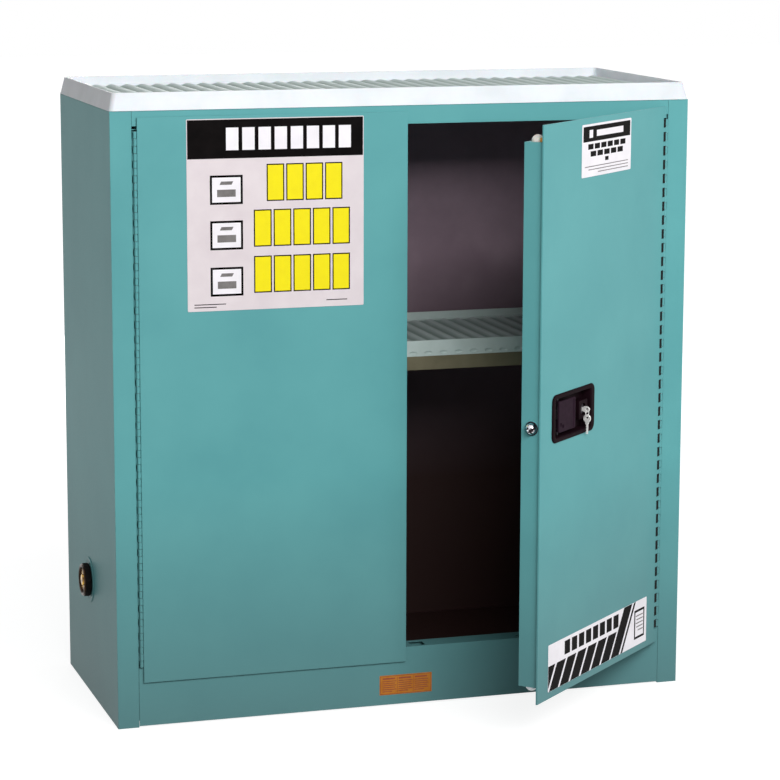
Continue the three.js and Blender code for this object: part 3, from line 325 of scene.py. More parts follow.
class Shape:
    """A mesh in the making, in millimetres, with the operators that this object's pieces need."""

    def __init__(self) -> None:
        """Starts an empty mesh."""
        self.bm = bmesh.new()

    def block(self, low: Point, high: Point) -> list[bmesh.types.BMVert]:
        """Adds a block between two corners.

        Args:
            low: its lowest corner.
            high: its highest corner.

        Returns:
            The block's vertices.
        """
        made = bmesh.ops.create_cube(self.bm, size=1.0)["verts"]
        size = [b - a for a, b in zip(low, high)]
        centre = [(a + b) / 2 for a, b in zip(low, high)]
        bmesh.ops.scale(self.bm, vec=size, verts=made)
        bmesh.ops.translate(self.bm, vec=centre, verts=made)
        return made

    def rounded(self, width: float, height: float, corner: float, segments: int = 6) -> bmesh.types.BMFace:
        """Adds a flat rectangle with round corners, in X and Y about the origin.

        Args:
            width: its size along X.
            height: its size along Y.
            corner: the radius of its corners.
            segments: the number of edges round a corner.

        Returns:
            The rectangle's face.
        """
        verts = bmesh.ops.create_grid(self.bm, x_segments=1, y_segments=1, size=0.5)["verts"]
        bmesh.ops.scale(self.bm, vec=(width, height, 1.0), verts=verts)
        made = bmesh.ops.bevel(self.bm, geom=verts, offset=corner, offset_type="OFFSET", segments=segments,
                               profile=0.5, affect="VERTICES", material=-1)
        flat = [f for v in made["verts"] for f in v.link_faces]
        return flat[0]

    def stepped(self, face: bmesh.types.BMFace, steps: Iterable[Point]) -> None:
        """Draws a face out in steps, each to its own width, height and level.

        Args:
            face: the face to draw out. It stays behind as the far end.
            steps: the width, height and level of each step.
        """
        bmesh.ops.reverse_faces(self.bm, faces=[face])
        for width, height, level in steps:
            made = bmesh.ops.extrude_face_region(self.bm, geom=[face], use_keep_orig=True)["geom"]
            # A face between two steps lies inside the shape
            if all(len(e.link_faces) > 2 for e in face.edges):
                bmesh.ops.delete(self.bm, geom=[face], context="FACES_ONLY")
            face = next(g for g in made if isinstance(g, bmesh.types.BMFace))
            verts = list(face.verts)
            xs = [v.co.x for v in verts]
            ys = [v.co.y for v in verts]
            about = Matrix.Translation((-(min(xs) + max(xs)) / 2, -(min(ys) + max(ys)) / 2, 0))
            bmesh.ops.scale(self.bm, vec=(width / (max(xs) - min(xs)), height / (max(ys) - min(ys)), 1.0),
                            space=about, verts=verts)
            bmesh.ops.translate(self.bm, vec=(0, 0, level - verts[0].co.z), verts=verts)

    def drawn(self, width: float, height: float, corner: float, segments: int, start: Point,
              steps: Iterable[Point]) -> "Shape":
        """Adds a flat rectangle with round corners and draws it out in steps.

        Args:
            width: the rectangle's size along X.
            height: its size along Y.
            corner: the radius of its corners.
            segments: the number of edges round a corner.
            start: its centre.
            steps: the width, height and level of each step.
        """
        face = self.rounded(width, height, corner, segments)
        bmesh.ops.translate(self.bm, vec=start, verts=face.verts)
        self.stepped(face, steps)
        return self

    def turned(self, profile: Sequence[tuple[float, float]], segments: int = 32) -> list[bmesh.types.BMVert]:
        """Spins a profile about Z.

        Args:
            profile: radius and height of each point. It starts and ends on the axis, or closes on itself.
            segments: the number of faces round the shape.

        Returns:
            The shape's vertices.
        """
        before = set(self.bm.verts)
        verts = [self.bm.verts.new((radius, 0.0, height)) for radius, height in profile]
        edges = [self.bm.edges.new(pair) for pair in zip(verts, verts[1:])]
        if profile[0][0] > 0:
            edges.append(self.bm.edges.new((verts[-1], verts[0])))
        bmesh.ops.spin(self.bm, geom=verts + edges, cent=(0, 0, 0), axis=(0, 0, 1), angle=2 * math.pi,
                       steps=segments, use_merge=True, use_duplicate=False)
        made = [v for v in self.bm.verts if v not in before]
        bmesh.ops.remove_doubles(self.bm, verts=made, dist=0.001)
        return [v for v in self.bm.verts if v not in before]

    def move(self, matrix: Matrix, verts: Sequence[bmesh.types.BMVert] | None = None) -> "Shape":
        """Moves some vertices, or the whole mesh, by a matrix."""
        bmesh.ops.transform(self.bm, matrix=matrix, verts=list(verts or self.bm.verts), space=Matrix.Identity(4))
        return self

    def soften(self, radius: float, segments: int = 2, degrees: float = 28.0,
               among: Iterable[bmesh.types.BMEdge] | None = None) -> "Shape":
        """Rounds the sharp edges.

        Args:
            radius: the width that the rounding takes from each face.
            segments: the number of faces across it.
            degrees: edges that turn by more than this are rounded.
            among: the edges to look at, or none for all.
        """
        limit = math.radians(degrees)
        sharp = [e for e in (among or self.bm.edges) if len(e.link_faces) == 2 and e.calc_face_angle(0) > limit]
        bmesh.ops.bevel(self.bm, geom=sharp, offset=radius, offset_type="OFFSET", segments=segments, profile=0.5,
                        affect="EDGES", material=-1, clamp_overlap=True)
        return self

    def copy_node(self, *nodes: str) -> "Shape":
        """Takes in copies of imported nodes, merged and with their flat faces made whole."""
        for name in nodes:
            self.bm.from_mesh(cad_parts[name].data)
        bmesh.ops.scale(self.bm, vec=(1 / METRES,) * 3, verts=self.bm.verts)
        bmesh.ops.remove_doubles(self.bm, verts=self.bm.verts, dist=0.004)
        bmesh.ops.dissolve_limit(self.bm, angle_limit=math.radians(0.6), use_dissolve_boundaries=False,
                                 verts=self.bm.verts, edges=self.bm.edges)
        return self

    def outward(self) -> "Shape":
        """Points every face outwards."""
        bmesh.ops.recalc_face_normals(self.bm, faces=self.bm.faces)
        return self

    def carve(self, *cutters: "Shape", operation: str = "DIFFERENCE") -> "Shape":
        """Cuts other shapes out of this one, or joins them to it.

        Args:
            cutters: the other shapes, which are used up.
            operation: the Boolean modifier's name for what is done.
        """
        holder = self.outward().loose("carved")
        for i, cutter in enumerate(cutters):
            tool = cutter.outward().loose(f"cutter_{i}")
            cut = holder.modifiers.new("cut", "BOOLEAN")
            cut.operation = operation
            cut.solver = "EXACT"
            cut.object = tool
        seen = holder.evaluated_get(bpy.context.evaluated_depsgraph_get())
        self.bm = bmesh.new()
        self.bm.from_mesh(seen.to_mesh())
        for obj in [holder] + [m.object for m in holder.modifiers]:
            mesh = obj.data
            bpy.data.objects.remove(obj)
            bpy.data.meshes.remove(mesh)
        bmesh.ops.remove_doubles(self.bm, verts=self.bm.verts, dist=0.002)
        return self

    def loose(self, name: str) -> bpy.types.Object:
        """Returns the mesh as a plain object, for a modifier to read."""
        mesh = bpy.data.meshes.new(name)
        self.bm.to_mesh(mesh)
        self.bm.free()
        obj = bpy.data.objects.new(name, mesh)
        bpy.context.scene.collection.objects.link(obj)
        bpy.context.view_layer.update()
        return obj

    def piece(self, name: str, body: str, slot: str, finish: Finish, replaces: Sequence[str] = (),
              degrees: float = 34.0) -> None:
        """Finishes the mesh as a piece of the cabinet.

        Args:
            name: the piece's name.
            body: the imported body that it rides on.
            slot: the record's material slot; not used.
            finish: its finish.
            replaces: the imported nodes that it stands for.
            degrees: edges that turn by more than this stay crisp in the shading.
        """
        bmesh.ops.scale(self.bm, vec=(METRES,) * 3, verts=self.bm.verts)
        bmesh.ops.recalc_face_normals(self.bm, faces=self.bm.faces)
        mesh = bpy.data.meshes.new(name)
        self.bm.to_mesh(mesh)
        self.bm.free()
        mesh.materials.append(finish.material())
        mesh.polygons.foreach_set("use_smooth", [True] * len(mesh.polygons))
        mesh.set_sharp_from_angle(angle=math.radians(degrees))
        obj = bpy.data.objects.new(name, mesh)
        bpy.context.scene.collection.objects.link(obj)
        even = obj.modifiers.new("even_flats", "WEIGHTED_NORMAL")
        even.keep_sharp = True
        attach(obj, body)
        if replaces:
            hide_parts(*replaces)
        log.info("%s rides on %s", name, body)


def node_box(node: str) -> tuple[Vector, Vector]:
    """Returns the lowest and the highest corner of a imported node, in millimetres."""
    low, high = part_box(node)
    return low / METRES, high / METRES


def dress(node: str, finish: Finish) -> None:
    """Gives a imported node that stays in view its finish."""
    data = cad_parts[node].data
    data.materials.clear()
    data.materials.append(finish.material())


def rounded_node(node: str, body: str, slot: str, finish: Finish, radius: float, segments: int = 2) -> None:
    """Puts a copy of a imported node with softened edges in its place.

    Args:
        node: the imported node.
        body: the body that it belongs to.
        slot: its material slot.
        finish: its finish.
        radius: how far its edges are softened.
        segments: the faces across a softened edge.
    """
    Shape().copy_node(node).soften(radius, segments).piece(f"{node}_formed", body, slot, finish, (node,))


# Places


@dataclass(frozen=True)
class DoorPlace:
    """Where a door stands: its hinge axis, its side and how far it is open.

    Inside a door, X runs from the hinge axis to the free edge, Y from the outer face inwards, and Z up.
    """

    side: Side
    body: str
    open_degrees: float
    hinge_x: float = 502.0
    hinge_y: float = -231.5
    face_from_axis: float = 2.0

    def matrix(self) -> Matrix:
        """Returns the matrix from the door's own millimetres to the cabinet's."""
        way = self.side.value
        angle = math.radians(self.open_degrees)
        along = Vector((-way * math.cos(angle), -math.sin(angle), 0))
        inwards = Vector((-way * math.sin(angle), math.cos(angle), 0))
        turned = Matrix((along, inwards, Vector((0, 0, 1)))).transposed().to_4x4()
        axis = Vector((way * self.hinge_x, self.hinge_y, 0))
        return Matrix.Translation(axis) @ turned @ Matrix.Translation((0, -self.face_from_axis, 0))


def facing(along: float, depth: float, height: float) -> Matrix:
    """Returns the matrix that lays a shape's XY plane on a door's face.

    Args:
        along: the shape's centre, from the hinge axis.
        depth: its level zero, inwards from the outer face. The shape's Z runs outwards from there.
        height: its centre above the floor.
    """
    turned = Matrix((Vector((1, 0, 0)), Vector((0, 0, 1)), Vector((0, -1, 0)))).transposed().to_4x4()
    return Matrix.Translation((along, depth, height)) @ turned


LEFT_DOOR = DoorPlace(Side.LEFT, "left_door", 0.0)
RIGHT_DOOR = DoorPlace(Side.RIGHT, "right_door", 42.5)


# Sub-assemblies


@dataclass
class SteelBody:
    """The double-walled body: outer sheets, front rails, liner, sump and the frame between the walls."""

    outer_round: float = 0.5
    inner_round: float = 0.35
    outer: tuple[str, ...] = ("side_panel_left", "side_panel_right", "back_panel", "top_panel", "header_rail",
                              "sill_rail", "base_pan")
    liner: tuple[str, ...] = ("liner_left", "liner_right", "liner_back", "liner_top", "sump_pan")
    brackets: tuple[str, ...] = ("wall_frame", "standard_left_front", "standard_left_back",
                                 "standard_right_front", "standard_right_back", "shelf_ledge_left",
                                 "shelf_ledge_right")

    def build(self) -> None:
        """Builds the sheets with softened edges."""
        for node in self.outer:
            rounded_node(node, "cabinet", "paint", TEAL, self.outer_round)
        for node in self.liner:
            # The liner's dark coat is painted shade
            rounded_node(node, "cabinet", "inner_paint", INNER_SHADE_COAT, self.inner_round)
        for node in self.brackets:
            rounded_node(node, "cabinet", "zinc", ZINC, self.inner_round)


@dataclass
class LevellingFoot:
    """A screw foot: a steel pad and a threaded stud."""

    corner: str
    pad_radius: float = 18.0
    pad_height: float = 8.0
    stud_radius: float = 4.9
    stud_top: float = 42.0
    thread_pitch: float = 2.0
    thread_depth: float = 0.9

    def build(self) -> None:
        """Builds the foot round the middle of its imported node."""
        node = f"foot_{self.corner}"
        low, high = node_box(node)
        centre = (low + high) / 2
        start = low.z
        profile = [(0.0, start), (self.pad_radius - 1.6, start), (self.pad_radius - 0.4, start + 0.6),
                   (self.pad_radius, start + 1.8), (self.pad_radius, self.pad_height - 2.2),
                   (self.pad_radius - 1.2, self.pad_height - 0.9), (self.stud_radius + 3, self.pad_height),
                   (self.stud_radius - self.thread_depth, self.pad_height)]
        level = self.pad_height + self.thread_pitch / 2
        while level + self.thread_pitch < self.stud_top:
            profile.append((self.stud_radius, level))
            profile.append((self.stud_radius - self.thread_depth, level + self.thread_pitch / 2))
            level += self.thread_pitch
        profile += [(self.stud_radius - self.thread_depth, self.stud_top - 0.4), (0.0, self.stud_top - 0.4)]
        shape = Shape()
        shape.turned(profile, 28)
        shape.move(Matrix.Translation((centre.x, centre.y, 0)))
        side, row = self.corner.split("_")
        shape.piece(f"{node}_threaded", f"{side}_{row}_foot", "dark_steel", FOOT_STEEL, (node,))


@dataclass
class MouldedTray:
    """A moulded tray: drafted walls with a rolled rim round a floor with ribs from front to back."""

    node: str
    body: str
    finish: Finish
    scalloped: bool = False
    corner: float = 9.0
    draft: float = 7.0
    foot_lip: float = 1.6
    rim: float = 3.6
    rim_roll: float = 1.1
    floor: float = 12.2
    foot: float = 14.0
    floor_wall: float = 3.4
    rib_pitch: float = 29.5
    rib_height: float = 6.2
    rib_room: float = 9.0
    rib_samples: int = 10
    rib_rows: int = 14
    rib_flatness: float = 1.6
    rib_end: float = 2.2
    sheet: float = 1.5
    dent_level: float = 5.8
    dent_depth: float = 0.5
    dent_size: Point = (8.6, 4.0, 4.0)

    def build(self) -> None:
        """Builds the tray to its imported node's box."""
        low, high = node_box(self.node)
        size = high - low
        top = size.z
        roll = self.rim_roll
        wall = 2 * self.draft
        inner = wall + 2 * self.rim
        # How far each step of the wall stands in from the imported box, in all, and its level
        steps = [
            (0, self.foot_lip), (1.6, self.foot_lip + 1.2), (wall, top - roll),
            (wall + 0.7 * roll, top - 0.3 * roll), (wall + 2 * roll, top), (inner - 2 * roll, top),
            (inner - 0.7 * roll, top - 0.3 * roll), (inner, top - roll), (inner + 3, self.floor + 3),
            (inner + 9, self.floor),
        ]
        tray = Shape().drawn(size.x, size.y, self.corner, 6, (0, 0, 0),
                             [(size.x - inset, size.y - inset, level) for inset, level in steps])
        below = (size.x - 2 * self.foot, size.y - 2 * self.foot)
        tray.carve(Shape().drawn(*below, self.corner, 6, (0, 0, -self.floor),
                                 [(*below, self.floor - self.floor_wall)]))
        if self.scalloped:
            tray.carve(self.dents(size.x, -size.y / 2))
        place = Matrix.Translation(((low.x + high.x) / 2, (low.y + high.y) / 2, low.z))
        tray.move(place)
        ribs = self.ribs(size.x - inner - 2 * self.rib_room, size.y - inner - 2 * self.rib_room)
        ribs.move(place)
        tray.piece(f"{self.node}_shell", self.body, "polyethylene", self.finish, (self.node,))
        # The ribbed floor's greyer, striped colour is painted shade
        ribs.piece(f"{self.node}_ribs", self.body, "polyethylene", TRAY_FLOOR_SHADE, degrees=60)

    def dents(self, width: float, front: float) -> Shape:
        """Returns the cutters for the row of scallops in the front's lower edge, one at each rib's end.

        Args:
            width: the tray's size along X.
            front: the place of its front along Y.
        """
        row = Shape()
        count = int((width - 2 * self.corner) // self.rib_pitch)
        for i in range(count):
            made = row.turned([(0.0, -1.0), (0.5, -0.85), (0.85, -0.5), (1.0, 0.0), (0.85, 0.5), (0.5, 0.85),
                               (0.0, 1.0)], 16)
            along = (i - (count - 1) / 2) * self.rib_pitch
            place = Matrix.Translation((along, front + self.dent_depth, self.dent_level))
            row.move(place @ Matrix.Diagonal((*self.dent_size, 1.0)), made)
        return row

    def ribs(self, width: float, depth: float) -> Shape:
        """Makes the ribbed floor as one closed sheet.

        Args:
            width: its size along X.
            depth: its size along Y.
        """
        count = int(width // self.rib_pitch)
        sheet = Shape()
        bmesh.ops.create_grid(sheet.bm, x_segments=count * self.rib_samples, y_segments=self.rib_rows, size=0.5)
        bmesh.ops.scale(sheet.bm, vec=(count * self.rib_pitch, depth, 1), verts=sheet.bm.verts)
        top = list(sheet.bm.verts)
        made = bmesh.ops.extrude_face_region(sheet.bm, geom=list(sheet.bm.faces), use_keep_orig=True)["geom"]
        raised = [g for g in made if isinstance(g, bmesh.types.BMVert)]
        bmesh.ops.translate(sheet.bm, vec=(0, 0, self.floor - self.sheet), verts=top)
        for vert in raised:
            wave = 0.5 - 0.5 * math.cos(2 * math.pi * vert.co.x / self.rib_pitch)
            flat = min(max(self.rib_flatness * (wave - 0.5) + 0.5, 0.0), 1.0)
            end = min(max((depth / 2 - abs(vert.co.y)) / (self.rib_end * self.rib_height), 0.0), 1.0)
            rise = self.rib_height * flat * math.sin(end * math.pi / 2)
            vert.co.z = self.floor + 0.15 + rise
        return sheet


@dataclass
class Shelf:
    """The steel shelf board."""

    edge_round: float = 0.5

    def build(self) -> None:
        """Builds the board with softened folds."""
        rounded_node("shelf", "shelf_board", "grey_steel", SHELF_GREY, self.edge_round)


@dataclass
class VentOpening:
    """A vent: a painted dish round a bore, and the cap that screws into it."""

    side: Side
    flange_radius: float = 43.0
    dish_radius: float = 37.0
    tube_radius: float = 27.0
    wall: float = 3.0
    cap_radius: float = 31.3
    cap_length: float = 13.8
    length: float = 40.7
    flange_back: float = 39.4
    dish_floor: float = 39.7
    plug: float = 11.5
    grip_sides: int = 72
    ridge_pitch: int = 3
    ridge_depth: float = 0.9

    def place(self) -> Matrix:
        """Returns the matrix that turns a shape's Z outwards, with its zero on the inner wall."""
        name = self.side.name.lower()
        low, high = node_box(f"vent_{name}_fitting")
        centre = (low + high) / 2
        start = high.x if self.side is Side.LEFT else low.x
        turn = Matrix.Rotation(self.side.value * math.pi / 2, 4, "Y")
        return Matrix.Translation((start, centre.y, centre.z)) @ turn

    def build(self) -> None:
        """Builds the fitting and its cap."""
        name = self.side.name.lower()
        bore = self.tube_radius - self.wall
        face = self.length
        fitting = Shape()
        fitting.turned([
            (bore, 0.2), (self.tube_radius, 0.2), (self.tube_radius, self.flange_back),
            (self.flange_radius, self.flange_back), (self.flange_radius, self.dish_floor),
            (self.flange_radius - 0.7, face - 0.1), (self.flange_radius - 2.2, face),
            (self.dish_radius + 1.5, face), (self.dish_radius, face - 0.3),
            (self.dish_radius - 2.5, self.dish_floor), (bore + 1.4, self.dish_floor),
            (bore, self.dish_floor - 0.7),
        ], 64)
        fitting.move(self.place())
        fitting.piece(f"vent_{name}_dish", "cabinet", "paint", TEAL, (f"vent_{name}_fitting",))
        self.cap(name, bore, face + 0.4)

    def cap(self, name: str, bore: float, seat: float) -> None:
        """Builds the cap: a ribbed rubber grip, a nearly black rim that is a painted dark reflection, and a brass
        middle with patches of painted reflection.

        Args:
            name: the vent's side.
            bore: the radius of the hole that the cap screws into.
            seat: the level on which the cap's skirt rests.
        """
        body = f"{name}_vent_cap"
        top = seat + self.cap_length
        radius = self.cap_radius
        grip = Shape()
        grip.turned([
            (0.0, seat - self.plug), (bore - 1.6, seat - self.plug), (bore - 0.5, seat - self.plug + 1.2),
            (bore - 0.5, seat), (radius - 1.0, seat), (radius, seat + 1.0), (radius, top - 4.4),
            (radius - 1.2, top - 3.2), (radius - 6.6, top - 3.2), (radius - 7.6, top - 4.6), (0.0, top - 4.6),
        ], self.grip_sides)
        ridges = [v for v in grip.bm.verts if v.co.xy.length > radius - 0.01]
        for vert in ridges:
            step = round(math.atan2(vert.co.y, vert.co.x) / (2 * math.pi) * self.grip_sides)
            if step % self.ridge_pitch == 0:
                vert.co.xy *= (radius - self.ridge_depth) / radius
        grip.move(self.place())
        grip.piece(f"vent_{name}_cap_grip", body, "chrome", BLACK_RUBBER_AND_SHADE, (f"vent_{name}_cap",))
        rim = Shape()
        rim.turned([
            (radius - 7.4, top - 4.4), (radius - 1.4, top - 4.4), (radius - 1.0, top - 2.6),
            (radius - 2.4, top - 0.7), (radius - 4.4, top), (radius - 6.2, top - 0.6), (radius - 7.4, top - 2.4),
        ], 64)
        rim.move(self.place())
        rim.piece(f"vent_{name}_cap_rim", body, "chrome", DARK_BRASS_PAINTED_REFLECTION)
        middle = Shape()
        middle.turned([
            (0.0, top - 5.0), (radius - 8.2, top - 5.0), (radius - 8.2, top - 4.2), (radius - 12.0, top - 3.4),
            (radius - 14.5, top - 4.0), (11.0, top - 4.0), (10.2, top - 1.2), (8.6, top - 0.5), (0.0, top - 0.5),
        ], 48)
        middle.move(self.place())
        middle.piece(f"vent_{name}_cap_middle", body, "chrome", BRASS_PAINTED_REFLECTIONS)


@dataclass
class PianoHinge:
    """A piano hinge: two leaves with fine knuckles that take turns round one pin."""

    door: DoorPlace
    barrel_radius: float = 3.1
    knuckle: float = 12.9
    knuckle_gap: float = 0.7
    pin_radius: float = 1.4
    sides: int = 14
    # A leaf's sheet and the web from it to a knuckle, in a door's own X and Y: the low corner, then the high one
    fixed_sheet: Area = (-4.7, 4.4, -3.5, 32.4)
    fixed_web: Area = (-4.7, 4.4, 0.0, 5.6)
    door_sheet: Area = (3.5, 1.5, 4.7, 32.4)
    door_web: Area = (1.6, 1.5, 4.7, 2.7)

    def build(self) -> None:
        """Builds both leaves and gives the pin its finish."""
        name = self.door.side.name.lower()
        low, high = node_box(f"{name}_hinge_pin")
        count = int((high.z - low.z) // self.knuckle) // 2 * 2 + 1
        pitch = (high.z - low.z) / count
        still = DoorPlace(self.door.side, "cabinet", 0.0)
        leaves = (("fixed", still, self.fixed_sheet, self.fixed_web),
                  ("door", self.door, self.door_sheet, self.door_web))
        for start, (kind, place, sheet, web) in enumerate(leaves):
            leaf = Shape()
            leaf.block((*sheet[:2], low.z), (*sheet[2:], high.z))
            for i in range(start, count, 2):
                z0 = low.z + i * pitch + self.knuckle_gap / 2
                z1 = low.z + (i + 1) * pitch - self.knuckle_gap / 2
                self.knuckle_at(leaf, z0, z1)
                leaf.block((web[0], web[1], z0), (web[2], web[3], z1))
            leaf.move(place.matrix())
            leaf.piece(f"{name}_hinge_{kind}_knuckles", place.body, "paint", TEAL, (f"{name}_hinge_{kind}_leaf",))
        dress(f"{name}_hinge_pin", ZINC)

    def knuckle_at(self, leaf: Shape, low: float, high: float) -> None:
        """Adds one knuckle to a leaf, about the hinge axis, with softened ends.

        Args:
            leaf: the leaf's shape.
            low: the knuckle's lower end.
            high: its upper end.
        """
        ease = 0.5
        radius = self.barrel_radius
        made = leaf.turned([
            (self.pin_radius + 0.2, low), (radius - ease, low), (radius, low + ease), (radius, high - ease),
            (radius - ease, high), (self.pin_radius + 0.2, high),
        ], self.sides)
        bmesh.ops.translate(leaf.bm, vec=(0, self.door.face_from_axis, 0), verts=made)


@dataclass
class DoorLeaf:
    """A door: its outer skin, its inner pan and the stiffener between them."""

    door: DoorPlace
    skin_round: float = 0.45
    pan_round: float = 0.4
    notch: Point = (12.8, 9.6, 18.0)
    notch_start: Point = (2.6, -1.0, -2.4)
    notch_pitch: float = 25.8
    # A black strip behind the notches, put there as painted shade
    shade_strip: Area = (3.9, 0.8, 15.8, 1.6)
    shade_strip_round: float = 0.1
    room_low: Point = (307.8, -1.0, 552.5)
    room_high: Point = (447.8, 2.0, 625.5)

    def build(self) -> None:
        """Builds the sheets with softened edges, and with notches along the hinge that stands open, backed by a
        black strip of painted shade.
        """
        name = self.door.side.name.lower()
        for node, ease in ((f"{name}_door_skin", self.skin_round), (f"{name}_door_pan", self.pan_round)):
            sheet = Shape().copy_node(node).soften(ease, 2)
            if self.door.side is Side.RIGHT:
                sheet.carve(self.notches(), self.handle_room())
            sheet.piece(f"{node}_formed", self.door.body, "paint", TEAL, (node,))
        dress(f"{name}_door_stiffener", ZINC)
        if self.door.side is Side.RIGHT:
            self.painted_shade_strip(name)

    def painted_shade_strip(self, name: str) -> None:
        """Builds a black strip behind the skin's notches: a dark sheet put there as painted shade in the gap.

        Args:
            name: the door's side.
        """
        low, high = node_box(f"{name}_hinge_pin")
        shade_strip = Shape()
        shade_strip.block((*self.shade_strip[:2], low.z), (*self.shade_strip[2:], high.z))
        shade_strip.soften(self.shade_strip_round, 1)
        shade_strip.move(self.door.matrix())
        shade_strip.piece(f"{name}_hinge_strip", self.door.body, "black_plastic", BLACK_RUBBER_AND_SHADE)

    def handle_room(self) -> Shape:
        """Returns the cutter that fits the skin's hole to the handle's casting."""
        room = Shape()
        room.block(self.room_low, self.room_high)
        return room.move(self.door.matrix())

    def notches(self) -> Shape:
        """Returns the cutters for a row of notches along the hinge."""
        low, high = node_box(f"{self.door.side.name.lower()}_hinge_pin")
        row = Shape()
        count = int((high.z - low.z) // self.notch_pitch)
        pitch = (high.z - low.z) / (count + 0.5)
        for i in range(count + 1):
            corner = Vector(self.notch_start) + Vector((0, 0, low.z + i * pitch))
            row.block(corner, corner + Vector(self.notch))
        return row.move(self.door.matrix())


class Ink(Enum):
    """The inks that the plates are printed with."""

    BLACK = "black"
    YELLOW = "yellow"
    GREY = "grey"
    RED = "red"
    WHITE = "white"


INKS = {Ink.BLACK: BLACK_INK, Ink.YELLOW: YELLOW_INK, Ink.GREY: GREY_INK, Ink.RED: RED_INK,
        Ink.WHITE: WHITE_VINYL}


@dataclass
class PrintedPlate:
    """A plain plate with generic bars, rules and stripes, printed in layers."""

    node: str
    body: str
    slot: str
    base: Finish
    place: Matrix
    width: float
    height: float
    thickness: float = 0.4
    corner: float = 2.0
    layer: float = 0.06
    sunk: float = 0.02
    margin: float = 0.3
    prints: list[tuple[Ink, int, list[Bar]]] = field(default_factory=list)

    def build(self) -> None:
        """Builds the plate and one piece for each printed layer."""
        plate = Shape()
        face = plate.rounded(self.width, self.height, self.corner)
        plate.stepped(face, [(self.width, self.height, self.thickness * 0.75),
                             (self.width - 0.2, self.height - 0.2, self.thickness)])
        plate.move(self.place)
        plate.piece(f"{self.node}_vinyl", self.body, self.slot, self.base, (self.node,))
        for number, (ink, level, bars) in enumerate(self.prints):
            layer = Shape()
            low = self.thickness - self.sunk
            high = self.thickness + self.layer * level
            for u, v, width, height, slant in bars:
                made = layer.block((u - width / 2, v - height / 2, low), (u + width / 2, v + height / 2, high))
                for vert in made:
                    vert.co.x += slant * (vert.co.y - v)
            if max(abs(vert.co.x) for vert in layer.bm.verts) > self.width / 2:
                room = Shape()
                across, up = self.width / 2 - self.margin, self.height / 2 - self.margin
                room.block((-across, -up, -1.0), (across, up, 3.0))
                layer.carve(room, operation="INTERSECT")
            layer.move(self.place)
            layer.piece(f"{self.node}_print_{number}_{ink.value}", self.body, self.slot, INKS[ink])


def bars_in_row(left: float, right: float, v: float, height: float, count: int, gap: float) -> list[Bar]:
    """Divides a row into equal bars.

    Args:
        left: the row's left end.
        right: its right end.
        v: its middle height.
        height: the bars' height.
        count: the number of bars.
        gap: the space between two bars.

    Returns:
        The bars, each with its centre, width, height and slant.
    """
    width = (right - left - gap * (count - 1)) / count
    return [(left + width / 2 + i * (width + gap), v, width, height, 0.0) for i in range(count)]


def outlined(bars: list[Bar], rim: float) -> list[Bar]:
    """Returns the same bars, larger by a rim all round."""
    return [(u, v, width + 2 * rim, height + 2 * rim, slant) for u, v, width, height, slant in bars]


def ruled(left: float, right: float, top: float, pitch: float, count: int, thick: float) -> list[Bar]:
    """Returns ruled lines under each other, the last one shorter."""
    lines = []
    for i in range(count):
        share = 0.7 if i == count - 1 else 1.0 - 0.08 * (i % 2)
        width = (right - left) * share
        lines.append((left + width / 2, top - i * pitch, width, thick, 0.0))
    return lines


